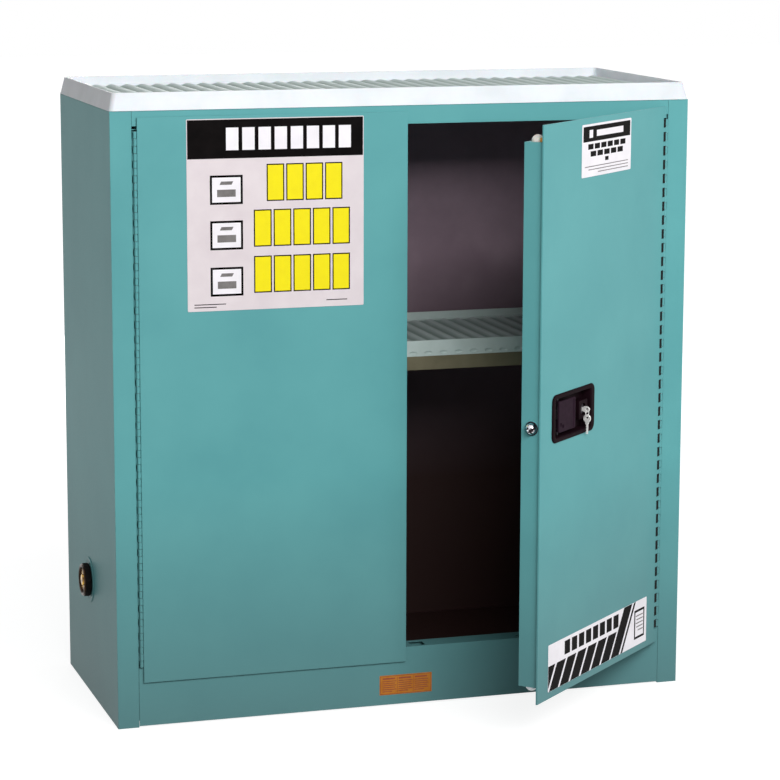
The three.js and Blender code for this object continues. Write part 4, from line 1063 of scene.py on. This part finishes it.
@dataclass
class Plates:
    """The four plates: three white ones on the doors and an orange one on the sill."""

    skin_end: float = 500.8
    lift: float = -0.3

    def build(self) -> None:
        """Builds all four plates."""
        self.large()
        self.small()
        self.striped()
        self.orange()

    def large(self) -> None:
        """Builds the left door's plate: a band with blanks, three marks and three rows of yellow bars."""
        width, height = 326.0, 342.0
        place = LEFT_DOOR.matrix() @ facing(self.skin_end - 83.3 - width / 2, self.lift, 930.5)
        half, top = width / 2, height / 2
        band = [(0.0, top - 36, width - 3, 69, 0.0)]
        rows = [(56.0, 4), (-25.0, 5), (-108.0, 5)]
        yellow, marks, cores = [], [], []
        for v, count in rows:
            left = -half + (148 if count == 4 else 124)
            yellow += bars_in_row(left, half - 42 if count == 4 else half - 28, v, 62, count, 8.0)
            marks.append((-half + 72, v - 11, 60, 52, 0.0))
            cores.append((-half + 72, v - 17, 34, 13, 0.0))
            cores.append((-half + 72, v + 1, 22, 6, 0.5))
        holes = outlined(marks, -4.0)
        foot = ruled(-half + 12, -half + 70, -top + 12, 5, 2, 1.6)
        foot += ruled(half - 70, half - 14, -top + 12, 5, 1, 1.6)
        blanks = bars_in_row(-half + 72, half - 24, top - 36, 40, 8, 7.0)
        prints = [(Ink.BLACK, 1, band + outlined(yellow, 2.2) + marks + foot), (Ink.WHITE, 2, blanks + holes),
                  (Ink.YELLOW, 2, yellow), (Ink.GREY, 3, cores)]
        PrintedPlate("left_door_plate", "left_door", "white_plate", PALE_VINYL, place, width, height,
                     prints=prints).build()

    def small(self) -> None:
        """Builds the right door's upper plate: a black band over ruled lines."""
        width, height = 199.0, 93.0
        place = RIGHT_DOOR.matrix() @ facing(self.skin_end - 145 - width / 2, self.lift, 1049.5)
        half, top = width / 2, height / 2
        lines = bars_in_row(-half + 24, half - 24, top - 40, 9.5, 6, 5.0)
        lines += bars_in_row(-half + 34, half - 34, top - 53, 9.5, 5, 5.0)
        rules = ruled(-half + 12, half - 12, top - 75, 5.5, 3, 1.6)
        band = top - 17.5
        black = [(0.0, band, width - 9, 27, 0.0)] + lines + [(0.0, top - 65, 14, 7, 0.0)]
        prints = [(Ink.BLACK, 1, black), (Ink.WHITE, 2, [(-12.0, band, 108, 11, 0.0), (64.0, band, 14, 14, 0.0)]),
                  (Ink.GREY, 1, rules)]
        PrintedPlate("right_door_upper_plate", "right_door", "white_plate", WHITE_VINYL, place, width, height,
                     corner=2.5, prints=prints).build()

    def striped(self) -> None:
        """Builds the right door's lower plate: slanted stripes, a row of blocks and a ruled box."""
        width, height = 409.0, 86.0
        place = RIGHT_DOOR.matrix() @ facing(self.skin_end - 40 - width / 2, self.lift, 140.5)
        half = width / 2
        slant = -0.66
        stripes = [(half + 5.5 - i * 42, -19.5, 35, 47, slant) for i in range(7)]
        stripes += [(-95.9, 0, 35, height, slant), (-124.4, 0, 8, height, slant)]
        blocks = bars_in_row(-82, half - 64, 24, 25, 8, 7.0)
        box = (-half + 31.5, -2, 44, 56, 0.0)
        prints = [(Ink.BLACK, 1, stripes + blocks + [box]), (Ink.WHITE, 2, outlined([box], -4.5)),
                  (Ink.GREY, 3, ruled(-half + 16, -half + 47, 14, 7, 5, 2.2))]
        PrintedPlate("right_door_lower_plate", "right_door", "white_plate", WHITE_VINYL, place, width, height,
                     prints=prints).build()

    def orange(self) -> None:
        """Builds the sill's plate: a red-brown border and three columns of ruled lines."""
        width, height = 102.0, 37.5
        half, top = width / 2, height / 2
        place = facing(0.0, -228.5, 40.25)
        border = [(0.0, top - 1.6, width - 3, 0.9, 0.0), (0.0, 1.6 - top, width - 3, 0.9, 0.0),
                  (1.6 - half, 0.0, 0.9, height - 3, 0.0), (half - 1.6, 0.0, 0.9, height - 3, 0.0)]
        lines = []
        for i in range(3):
            left = -half + 4.5 + i * 31.4
            lines.append((left + 13.5, top - 6.4, 24, 2.8, 0.0))
            lines += ruled(left + 1, left + 28, top - 11.5, 3.9, 6, 1.5)
        border += [(-half + 3.2 + 31.4 * i, 0.0, 0.6, height - 8, 0.0) for i in (1, 2)]
        PrintedPlate("sill_plate", "cabinet", "orange_plate", ORANGE_VINYL, place, width, height, corner=1.0,
                     prints=[(Ink.RED, 1, border + lines)]).build()


@dataclass
class LatchHandle:
    """The recessed handle: its casting, paddle, pin, spring, key lock and keys."""

    centre: float = 375.8
    height: float = 589.0
    recess_depth: float = 15.0
    recess_shift: float = 2.0
    proud: float = 2.8
    pivot: float = 419.8
    pivot_depth: float = 9.2
    paddle_start: float = 364.8
    paddle_end: float = 429.8
    lock: float = 332.5
    boss_depth: float = 1.0
    seat_radius: float = 9.8
    cup_radius: float = 10.7
    cup_depth: float = 5.5
    plug_face: float = 3.5
    bow_radius: float = 7.5
    hole_radius: float = 2.6
    hole_offset: float = 2.4
    teeth: tuple[tuple[float, float], ...] = ((-13.0, 0.8), (-16.0, 1.3), (-19.0, 0.6), (-22.0, 1.2),
                                              (-25.2, 0.9))
    ring_radius: float = 6.0
    ring_wire: float = 0.64
    ring_drop: float = 1.05
    lock_key_share: float = 0.76
    spare_key_share: float = 0.96

    def build(self) -> None:
        """Builds every piece of the handle."""
        self.casting()
        self.boss()
        self.paddle()
        self.arms()
        self.spring()
        self.lock_pieces()
        self.keys()

    def on_face(self, depth: float = 0.0, along: float | None = None, height: float | None = None) -> Matrix:
        """Returns the matrix onto the right door's face, at the handle's centre if no place is given."""
        return RIGHT_DOOR.matrix() @ facing(self.centre if along is None else along, depth,
                                            self.height if height is None else height)

    def casting(self) -> None:
        """Builds the casting: a rounded rim round a drafted recess."""
        shape = Shape().drawn(139.6, 72.6, 6.0, 6, (self.recess_shift, 0, -17.0), [(139.6, 72.6, 1.0)])
        shape.carve(Shape().drawn(166.0, 86.0, 13.0, 8, (0, 0, 0.3), [
            (166.0, 86.0, 1.0), (165.0, 85.0, 1.8), (162.6, 82.6, 2.4), (157.0, 78.0, self.proud),
        ]), operation="UNION")
        recess = Shape().drawn(130.6, 62.6, 4.0, 5, (self.recess_shift, 0, -self.recess_depth), [
            (133.0, 65.0, 0.3 - self.recess_depth), (134.4, 66.4, 1.2 - self.recess_depth), (136.6, 68.6, 0.2),
            (138.2, 70.2, 1.4), (140.6, 72.6, 2.3), (144.0, 75.0, self.proud), (147.0, 78.0, self.proud + 1),
        ])
        slot = Shape()
        slot.block((self.pivot - 13.0 - self.centre, -21.5, -19.0), (self.pivot + 3 - self.centre, -5.0, -13.0))
        shape.carve(recess, slot, self.bore(self.seat_radius, self.lock - self.centre))
        shape.move(self.on_face())
        shape.piece("handle_casting", "right_door", "black_metal", BLACK_CASTING, ("handle_tray",))

    def bore(self, radius: float, along: float = 0.0, low: float = -60.0) -> Shape:
        """Returns a cutter for a round hole through the casting."""
        hole = Shape()
        hole.turned([(0, low), (radius, low), (radius, 60), (0, 60)], 40)
        return hole.move(Matrix.Translation((along, 0, 0)))

    def boss(self) -> None:
        """Builds the square boss with the cup that takes the lock."""
        top = -self.boss_depth
        shape = Shape().drawn(33.6, 33.6, 2.0, 4, (0, 0, -16.0),
                              [(33.6, 33.6, top - 0.9), (33.0, 33.0, top - 0.3), (32.0, 32.0, top)])
        shape.carve(self.bore(self.seat_radius), self.bore(self.cup_radius, low=-self.cup_depth))
        shape.move(self.on_face(along=self.lock))
        shape.piece("lock_boss", "right_door", "black_metal", BLACK_CASTING)

    def paddle(self) -> None:
        """Builds the paddle's plate, with a rolled grip at the end that is pulled and two small dark pits."""
        middle = (self.paddle_start + self.paddle_end) / 2
        shape = Shape().drawn(62.0, 53.0, 3.0, 5, (0, 0, -4.0), [
            (64.4, 55.4, -3.4), (65.0, 56.0, -2.6), (65.0, 56.0, -1.2), (64.4, 55.4, -0.5), (63.2, 54.2, -0.1),
            (62.0, 53.0, 0.0),
        ])
        grip = Shape()
        made = grip.turned([(0, -26.0), (3.4, -26.0), (4.2, -25.2), (4.2, 25.2), (3.4, 26.0), (0, 26.0)], 24)
        lie = Matrix.Translation((-26.5, 0, -2.6)) @ Matrix.Rotation(math.pi / 2, 4, "X")
        grip.move(lie, made)
        shape.carve(grip, operation="UNION")
        pits = []
        for along, up in ((25.0, -14.0), (17.0, -17.5)):
            pit = Shape()
            pit.block((along - 3, up - 3, -1.6), (along + 3, up + 3, 2.0))
            pits.append(pit)
        shape.carve(*pits)
        shape.move(self.on_face(along=middle))
        shape.piece("paddle_plate", "paddle_lever", "black_plastic", BLACK_NYLON, ("paddle",))

    def arms(self) -> None:
        """Builds the paddle's ears, hub and tail, and dresses its pin."""
        arms = Shape()
        for low in (self.height - 27.6, self.height + 23.4):
            made = arms.block((self.pivot - 3.8, 2.4, low), (self.pivot + 3.8, 12.4, low + 4.2))
            arms.soften(0.8, 2, among={e for v in made for e in v.link_edges})
        low, high = self.height - 21.1, self.height - 5.5
        made = arms.block((self.pivot - 1.4, 3.0, low), (self.pivot + 1.4, 22.3, high))
        arms.soften(0.5, 2, among={e for v in made for e in v.link_edges})
        hub = arms.turned([(2.5, low), (3.9, low), (3.9, high), (2.5, high)], 28)
        bmesh.ops.translate(arms.bm, vec=(self.pivot, self.pivot_depth, 0), verts=hub)
        arms.move(RIGHT_DOOR.matrix())
        arms.piece("paddle_arms", "paddle_lever", "black_plastic", BLACK_NYLON)
        dress("paddle_pin", LOCK_STEEL)

    def spring(self) -> None:
        """Builds the return spring as a coil of round wire."""
        coil = Shape()
        wire, radius, turns, sides = 0.55, 3.25, 9, 20
        low, high = self.height - 4.4, self.height + 12.2
        ring = bmesh.ops.create_circle(coil.bm, cap_ends=True, radius=wire, segments=8)["verts"]
        stand = Matrix.Translation((radius, 0, low)) @ Matrix.Rotation(math.pi / 2, 4, "X")
        coil.move(stand, ring)
        face = next(iter(coil.bm.faces))
        bmesh.ops.spin(coil.bm, geom=[face], cent=(0, 0, 0), axis=(0, 0, 1),
                       dvec=(0, 0, (high - low) / (turns * sides)), angle=2 * math.pi * turns,
                       steps=turns * sides, use_duplicate=True)
        coil.move(RIGHT_DOOR.matrix() @ Matrix.Translation((self.pivot, self.pivot_depth, 0)))
        coil.piece("paddle_spring_coil", "right_door", "zinc", ZINC, ("paddle_spring",), degrees=60)

    def lock_pieces(self) -> None:
        """Builds the lock's barrel, with its round face, and the plug with its keyway."""
        barrel = Shape()
        barrel.turned([
            (6.55, -26.3), (9.4, -26.3), (9.4, -5.0), (10.3, -5.0), (10.3, -4.7), (9.7, -4.35), (7.0, -4.3),
            (6.55, -4.6),
        ], 48)
        barrel.move(self.on_face(along=self.lock))
        barrel.piece("lock_barrel_turned", "right_door", "chrome", LOCK_STEEL, ("lock_barrel",))
        plug = Shape()
        plug.turned([
            (0.0, -29.0), (1.9, -29.0), (1.9, -26.5), (6.3, -26.5), (6.3, -self.plug_face - 0.4),
            (5.9, -self.plug_face), (0.0, -self.plug_face),
        ], 40)
        way = Shape()
        way.block((-1.3, -3.1, -self.plug_face - 20.3), (1.3, 3.1, 4.0))
        plug.carve(way)
        plug.move(self.on_face(along=self.lock))
        plug.piece("lock_plug_turned", "lock_core", "chrome", LOCK_STEEL, ("lock_plug",))
        rounded_node("lock_cam", "lock_core", "zinc", ZINC, 0.4)

    def key_shape(self, width: float) -> Shape:
        """Makes a key in X (its thickness), Y and Z, with its bow round the origin and its blade down.

        Args:
            width: the bow's width, as a share of its height.
        """
        key = Shape()
        edge = self.bow_radius - 0.4
        bow = key.turned([(0, -1.0), (edge, -1.0), (self.bow_radius, -0.6), (self.bow_radius, 0.6), (edge, 1.0),
                          (0, 1.0)], 40)
        key.move(Matrix.Diagonal((1, width, 1, 1)) @ Matrix.Rotation(math.pi / 2, 4, "Y"), bow)
        neck = Shape()
        neck.block((-0.98, -3.0, -9.6), (0.98, 3.0, -4.0))
        blade = Shape()
        blade.block((-0.92, -2.0, -27.8), (0.92, 2.0, -6.0))
        key.carve(neck, blade, operation="UNION")
        hole = Shape()
        made = hole.turned([(0, -5), (self.hole_radius, -5), (self.hole_radius, 5), (0, 5)], 24)
        hole.move(Matrix.Translation((0, 0, self.hole_offset)) @ Matrix.Rotation(math.pi / 2, 4, "Y"), made)
        cutters = [hole]
        for place, bite in self.teeth:
            tooth = Shape()
            corners = tooth.block((-3, 2.0 - bite, place - 0.9), (3, 4.0, place + 0.9))
            for vert in corners:
                if vert.co.y > 3:
                    vert.co.z += 1.2 if vert.co.z > place else -1.2
            cutters.append(tooth)
        groove = Shape()
        groove.block((0.5, -1.2, -40.0), (3.0, -0.4, -11.0))
        cutters.append(groove)
        return key.carve(*cutters)

    def keys(self) -> None:
        """Builds the key in the lock, the ring through its bow and the spare key on the ring."""
        bow_depth = self.plug_face - self.bow_radius - 0.5
        hole_depth = bow_depth - self.hole_offset
        door = RIGHT_DOOR.matrix()
        upright = Matrix.Rotation(math.pi / 2, 4, "X")
        key = self.key_shape(self.lock_key_share)
        key.move(door @ Matrix.Translation((self.lock, bow_depth, self.height)) @ upright)
        key.piece("key_cut", "lock_core", "zinc", NICKEL, ("key",))
        ring_centre = self.height - self.ring_drop - self.ring_radius
        ring = Shape()
        circle = bmesh.ops.create_circle(ring.bm, cap_ends=False, radius=self.ring_wire, segments=10)["verts"]
        ring.move(Matrix.Translation((self.ring_radius, 0, 0)) @ upright, circle)
        bmesh.ops.spin(ring.bm, geom=list(ring.bm.verts) + list(ring.bm.edges), cent=(0, 0, 0), axis=(0, 0, 1),
                       angle=2 * math.pi, steps=36, use_merge=True, use_duplicate=False)
        ring.move(door @ Matrix.Translation((self.lock, hole_depth, ring_centre)) @ upright)
        ring.piece("key_ring_wire", "spare", "zinc", NICKEL, ("key_ring",), degrees=60)
        spare_centre = ring_centre - self.ring_radius - self.ring_drop - self.hole_offset
        spare = self.key_shape(self.spare_key_share)
        spare.move(door @ Matrix.Translation((self.lock, hole_depth, spare_centre)))
        spare.piece("spare_key_cut", "spare", "zinc", NICKEL, ("spare_key",))


@dataclass
class LatchBolts:
    """What the paddle moves inside the right door: the rocker, two rods with bolts and the bullet."""

    bolt_along: float = 474.8
    bolt_depth: float = 25.0
    bolt_radius: float = 11.0
    top_tip: float = 1088.0
    nose_start: float = 1060.0
    bullet_depth: float = 19.5
    bullet_height: float = 579.0
    collar_start: float = 496.1
    nose_steps: int = 10
    bumper_low: Point = (483.5, 5.0, 1076.0)
    bumper_high: Point = (490.5, 13.6, 1083.6)

    def build(self) -> None:
        """Builds the rocker, the rods with their noses, and the bullet with its collar."""
        rounded_node("rocker", "rocker_plate", "zinc", ZINC, 0.35)
        self.top_rod()
        rounded_node("bottom_rod", "bottom_bolt", "zinc", ZINC, 0.3)
        self.bullet()
        self.bumper()

    def top_rod(self) -> None:
        """Builds the top rod, with a domed nylon nose in place of its steel tip."""
        rod = Shape().copy_node("top_rod").soften(0.3, 2)
        room = Shape()
        room.block((self.bolt_along - 14, self.bolt_depth - 14, self.nose_start),
                   (self.bolt_along + 14, self.bolt_depth + 14, self.top_tip + 10))
        rod.carve(room.move(RIGHT_DOOR.matrix()))
        rod.piece("top_rod_formed", "top_bolt", "zinc", ZINC, ("top_rod",))
        nose = Shape()
        profile = [(0.0, self.nose_start + 0.2), (self.bolt_radius - 0.5, self.nose_start + 0.2),
                   (self.bolt_radius, self.nose_start + 0.7)]
        for i in range(self.nose_steps + 1):
            angle = i / self.nose_steps * math.pi / 2
            level = self.top_tip - self.bolt_radius * (1 - math.sin(angle))
            profile.append((self.bolt_radius * math.cos(angle) if i < self.nose_steps else 0.0, level))
        nose.turned(profile, 40)
        nose.move(RIGHT_DOOR.matrix() @ Matrix.Translation((self.bolt_along, self.bolt_depth, 0)))
        nose.piece("top_bolt_nose", "top_bolt", "zinc", NATURAL_NYLON)

    def bullet(self) -> None:
        """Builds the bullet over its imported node, and the dark ring round it."""
        # The bullet's dark chrome patches are painted reflections
        rounded_node("bullet", "bullet_plunger", "chrome", CHROME_PAINTED_REFLECTIONS, 0.15)
        ring = Shape()
        made = ring.turned([(10.7, 0.0), (12.6, 0.0), (12.6, 1.9), (12.2, 2.4), (11.2, 2.4), (10.7, 1.9)], 48)
        ring.move(Matrix.Rotation(math.pi / 2, 4, "Y"), made)
        place = Matrix.Translation((self.collar_start, self.bullet_depth, self.bullet_height))
        ring.move(RIGHT_DOOR.matrix() @ place)
        ring.piece("bullet_collar_ring", "right_door", "black_plastic", BLACK_NYLON)

    def bumper(self) -> None:
        """Builds the amber bumper that stands on the pan's top beside the bolt."""
        block = Shape()
        block.block(self.bumper_low, self.bumper_high)
        block.soften(1.6, 4)
        block.move(RIGHT_DOOR.matrix())
        block.piece("bolt_bumper", "right_door", "black_plastic", AMBER)


@dataclass
class Studio:
    """A pale floor, a white surround, a wide soft lamp in front and two weaker ones."""

    sky: float = 0.32
    floor_tone: float = 0.32
    floor_lift: float = 0.84
    far_start: float = 1.2
    far_end: float = 3.2
    key_place: Point = (0.3, -4.2, 2.9)
    key_width: float = 3.2
    key_height: float = 1.6
    key_watts: float = 196.0
    side_place: Point = (4.2, -1.2, 1.0)
    side_watts: float = 28.0
    back_place: Point = (0.4, 4.2, 0.9)
    back_watts: float = 60.0
    soft_size: float = 1.6
    centre: Point = (0.0, -0.2, 0.55)

    def build(self) -> None:
        """Builds the floor, the surround and the lamps."""
        self.surround()
        self.floor()
        self.lamp("key_lamp", self.key_place, self.key_width, self.key_height, self.key_watts)
        self.lamp("side_lamp", self.side_place, self.soft_size, self.soft_size, self.side_watts)
        self.lamp("back_lamp", self.back_place, self.soft_size, self.soft_size, self.back_watts)

    def seen(self, tree: bpy.types.NodeTree) -> bpy.types.NodeSocket:
        """Returns 1 for rays from the camera, or off glossy and clear things, and 0 for the rest."""
        path = add_node(tree, "ShaderNodeLightPath")
        both = add_node(tree, "ShaderNodeMath", {0: path.outputs["Is Camera Ray"],
                                                 1: path.outputs["Is Glossy Ray"]}, operation="MAXIMUM")
        every = add_node(tree, "ShaderNodeMath", {0: both.outputs[0], 1: path.outputs["Is Transmission Ray"]},
                         operation="MAXIMUM")
        return every.outputs[0]

    def surround(self) -> None:
        """Makes the world white where it is seen, and a plain soft light elsewhere."""
        world = bpy.data.worlds.new("white_surround")
        bpy.context.scene.world = world
        world.use_nodes = True
        tree = world.node_tree
        strength = add_node(tree, "ShaderNodeMapRange", {0: self.seen(tree), 3: self.sky, 4: 1.0})
        ground = tree.nodes["Background"]
        ground.inputs["Color"].default_value = (1, 1, 1, 1)
        tree.links.new(strength.outputs[0], ground.inputs["Strength"])

    def floor(self) -> None:
        """Lays a pale floor that keeps the object's shadow."""
        shape = Shape()
        bmesh.ops.create_grid(shape.bm, x_segments=2, y_segments=2, size=20.0)
        mesh = bpy.data.meshes.new("studio_floor")
        shape.bm.to_mesh(mesh)
        shape.bm.free()
        floor = bpy.data.objects.new("studio_floor", mesh)
        bpy.context.scene.collection.objects.link(floor)
        made = bpy.data.materials.new("matt_white_floor")
        made.use_nodes = True
        tree = made.node_tree
        shader = tree.nodes["Principled BSDF"]
        shader.inputs["Base Color"].default_value = (self.floor_tone,) * 3 + (1,)
        shader.inputs["Roughness"].default_value = 1.0
        shader.inputs["Specular IOR Level"].default_value = 0.0
        shader.inputs["Emission Color"].default_value = (1, 1, 1, 1)
        where = add_node(tree, "ShaderNodeTexCoord")
        away = add_node(tree, "ShaderNodeVectorMath", {0: where.outputs["Object"]}, operation="LENGTH")
        glow = add_node(tree, "ShaderNodeMapRange", {0: away.outputs["Value"], 1: self.far_start, 2: self.far_end,
                                                     3: self.floor_lift, 4: 1.0})
        lift = add_node(tree, "ShaderNodeMath", {0: glow.outputs[0], 1: self.seen(tree)}, operation="MULTIPLY")
        tree.links.new(lift.outputs[0], shader.inputs["Emission Strength"])
        mesh.materials.append(made)

    def lamp(self, name: str, place: Point, width: float, height: float, watts: float) -> None:
        """Hangs a wide soft lamp that faces the cabinet.

        Args:
            name: the lamp's name.
            place: where it hangs, in metres.
            width: its size along X.
            height: its size the other way.
            watts: its power.
        """
        light = bpy.data.lights.new(name, "AREA")
        light.shape = "RECTANGLE"
        light.size = width
        light.size_y = height
        light.energy = watts
        lamp = bpy.data.objects.new(name, light)
        way = Vector(self.centre) - Vector(place)
        lamp.matrix_world = Matrix.Translation(place) @ way.to_track_quat("-Z", "Y").to_matrix().to_4x4()
        bpy.context.scene.collection.objects.link(lamp)


@dataclass
class PhotoCamera:
    """The camera at the photograph's viewing angle."""

    place: Point = (-1.534, -5.0335, 1.502)
    yaw_degrees: float = 17.33
    pitch_degrees: float = 10.17
    roll_degrees: float = -0.15
    focal_mm: float = 129.1
    sensor_mm: float = 36.0

    def build(self) -> None:
        """Builds the camera and makes it the scene's own."""
        lens = bpy.data.cameras.new("photo_camera")
        lens.lens = self.focal_mm
        lens.sensor_width = self.sensor_mm
        lens.sensor_fit = "HORIZONTAL"
        camera = bpy.data.objects.new("photo_camera", lens)
        camera.location = self.place
        camera.rotation_euler = (math.radians(90 - self.pitch_degrees), math.radians(self.roll_degrees),
                                 math.radians(-self.yaw_degrees))
        bpy.context.scene.collection.objects.link(camera)
        bpy.context.scene.camera = camera


def main() -> None:
    """Builds the cabinet's looks and the scene round it, in order."""
    logging.basicConfig(level=logging.INFO, format="%(name)s: %(message)s")
    bpy.context.scene.view_settings.view_transform = "Standard"
    parts = [
        PhotoCamera(), Studio(), SteelBody(), Shelf(),
        MouldedTray("top_tray", "top_tray_body", POLYETHYLENE),
        # The shelf tray's greyer finish is painted shade
        MouldedTray("shelf_tray", "shelf_tray_body", SHADED_POLYETHYLENE, scalloped=True),
        VentOpening(Side.LEFT), VentOpening(Side.RIGHT),
        PianoHinge(LEFT_DOOR), PianoHinge(RIGHT_DOOR), DoorLeaf(LEFT_DOOR), DoorLeaf(RIGHT_DOOR),
        Plates(), LatchHandle(), LatchBolts(),
    ]
    parts += [LevellingFoot(corner) for corner in ("front_left", "front_right", "back_left", "back_right")]
    for part in parts:
        log.info("building %s", type(part).__name__)
        part.build()


if __name__ == "__main__":
    main()
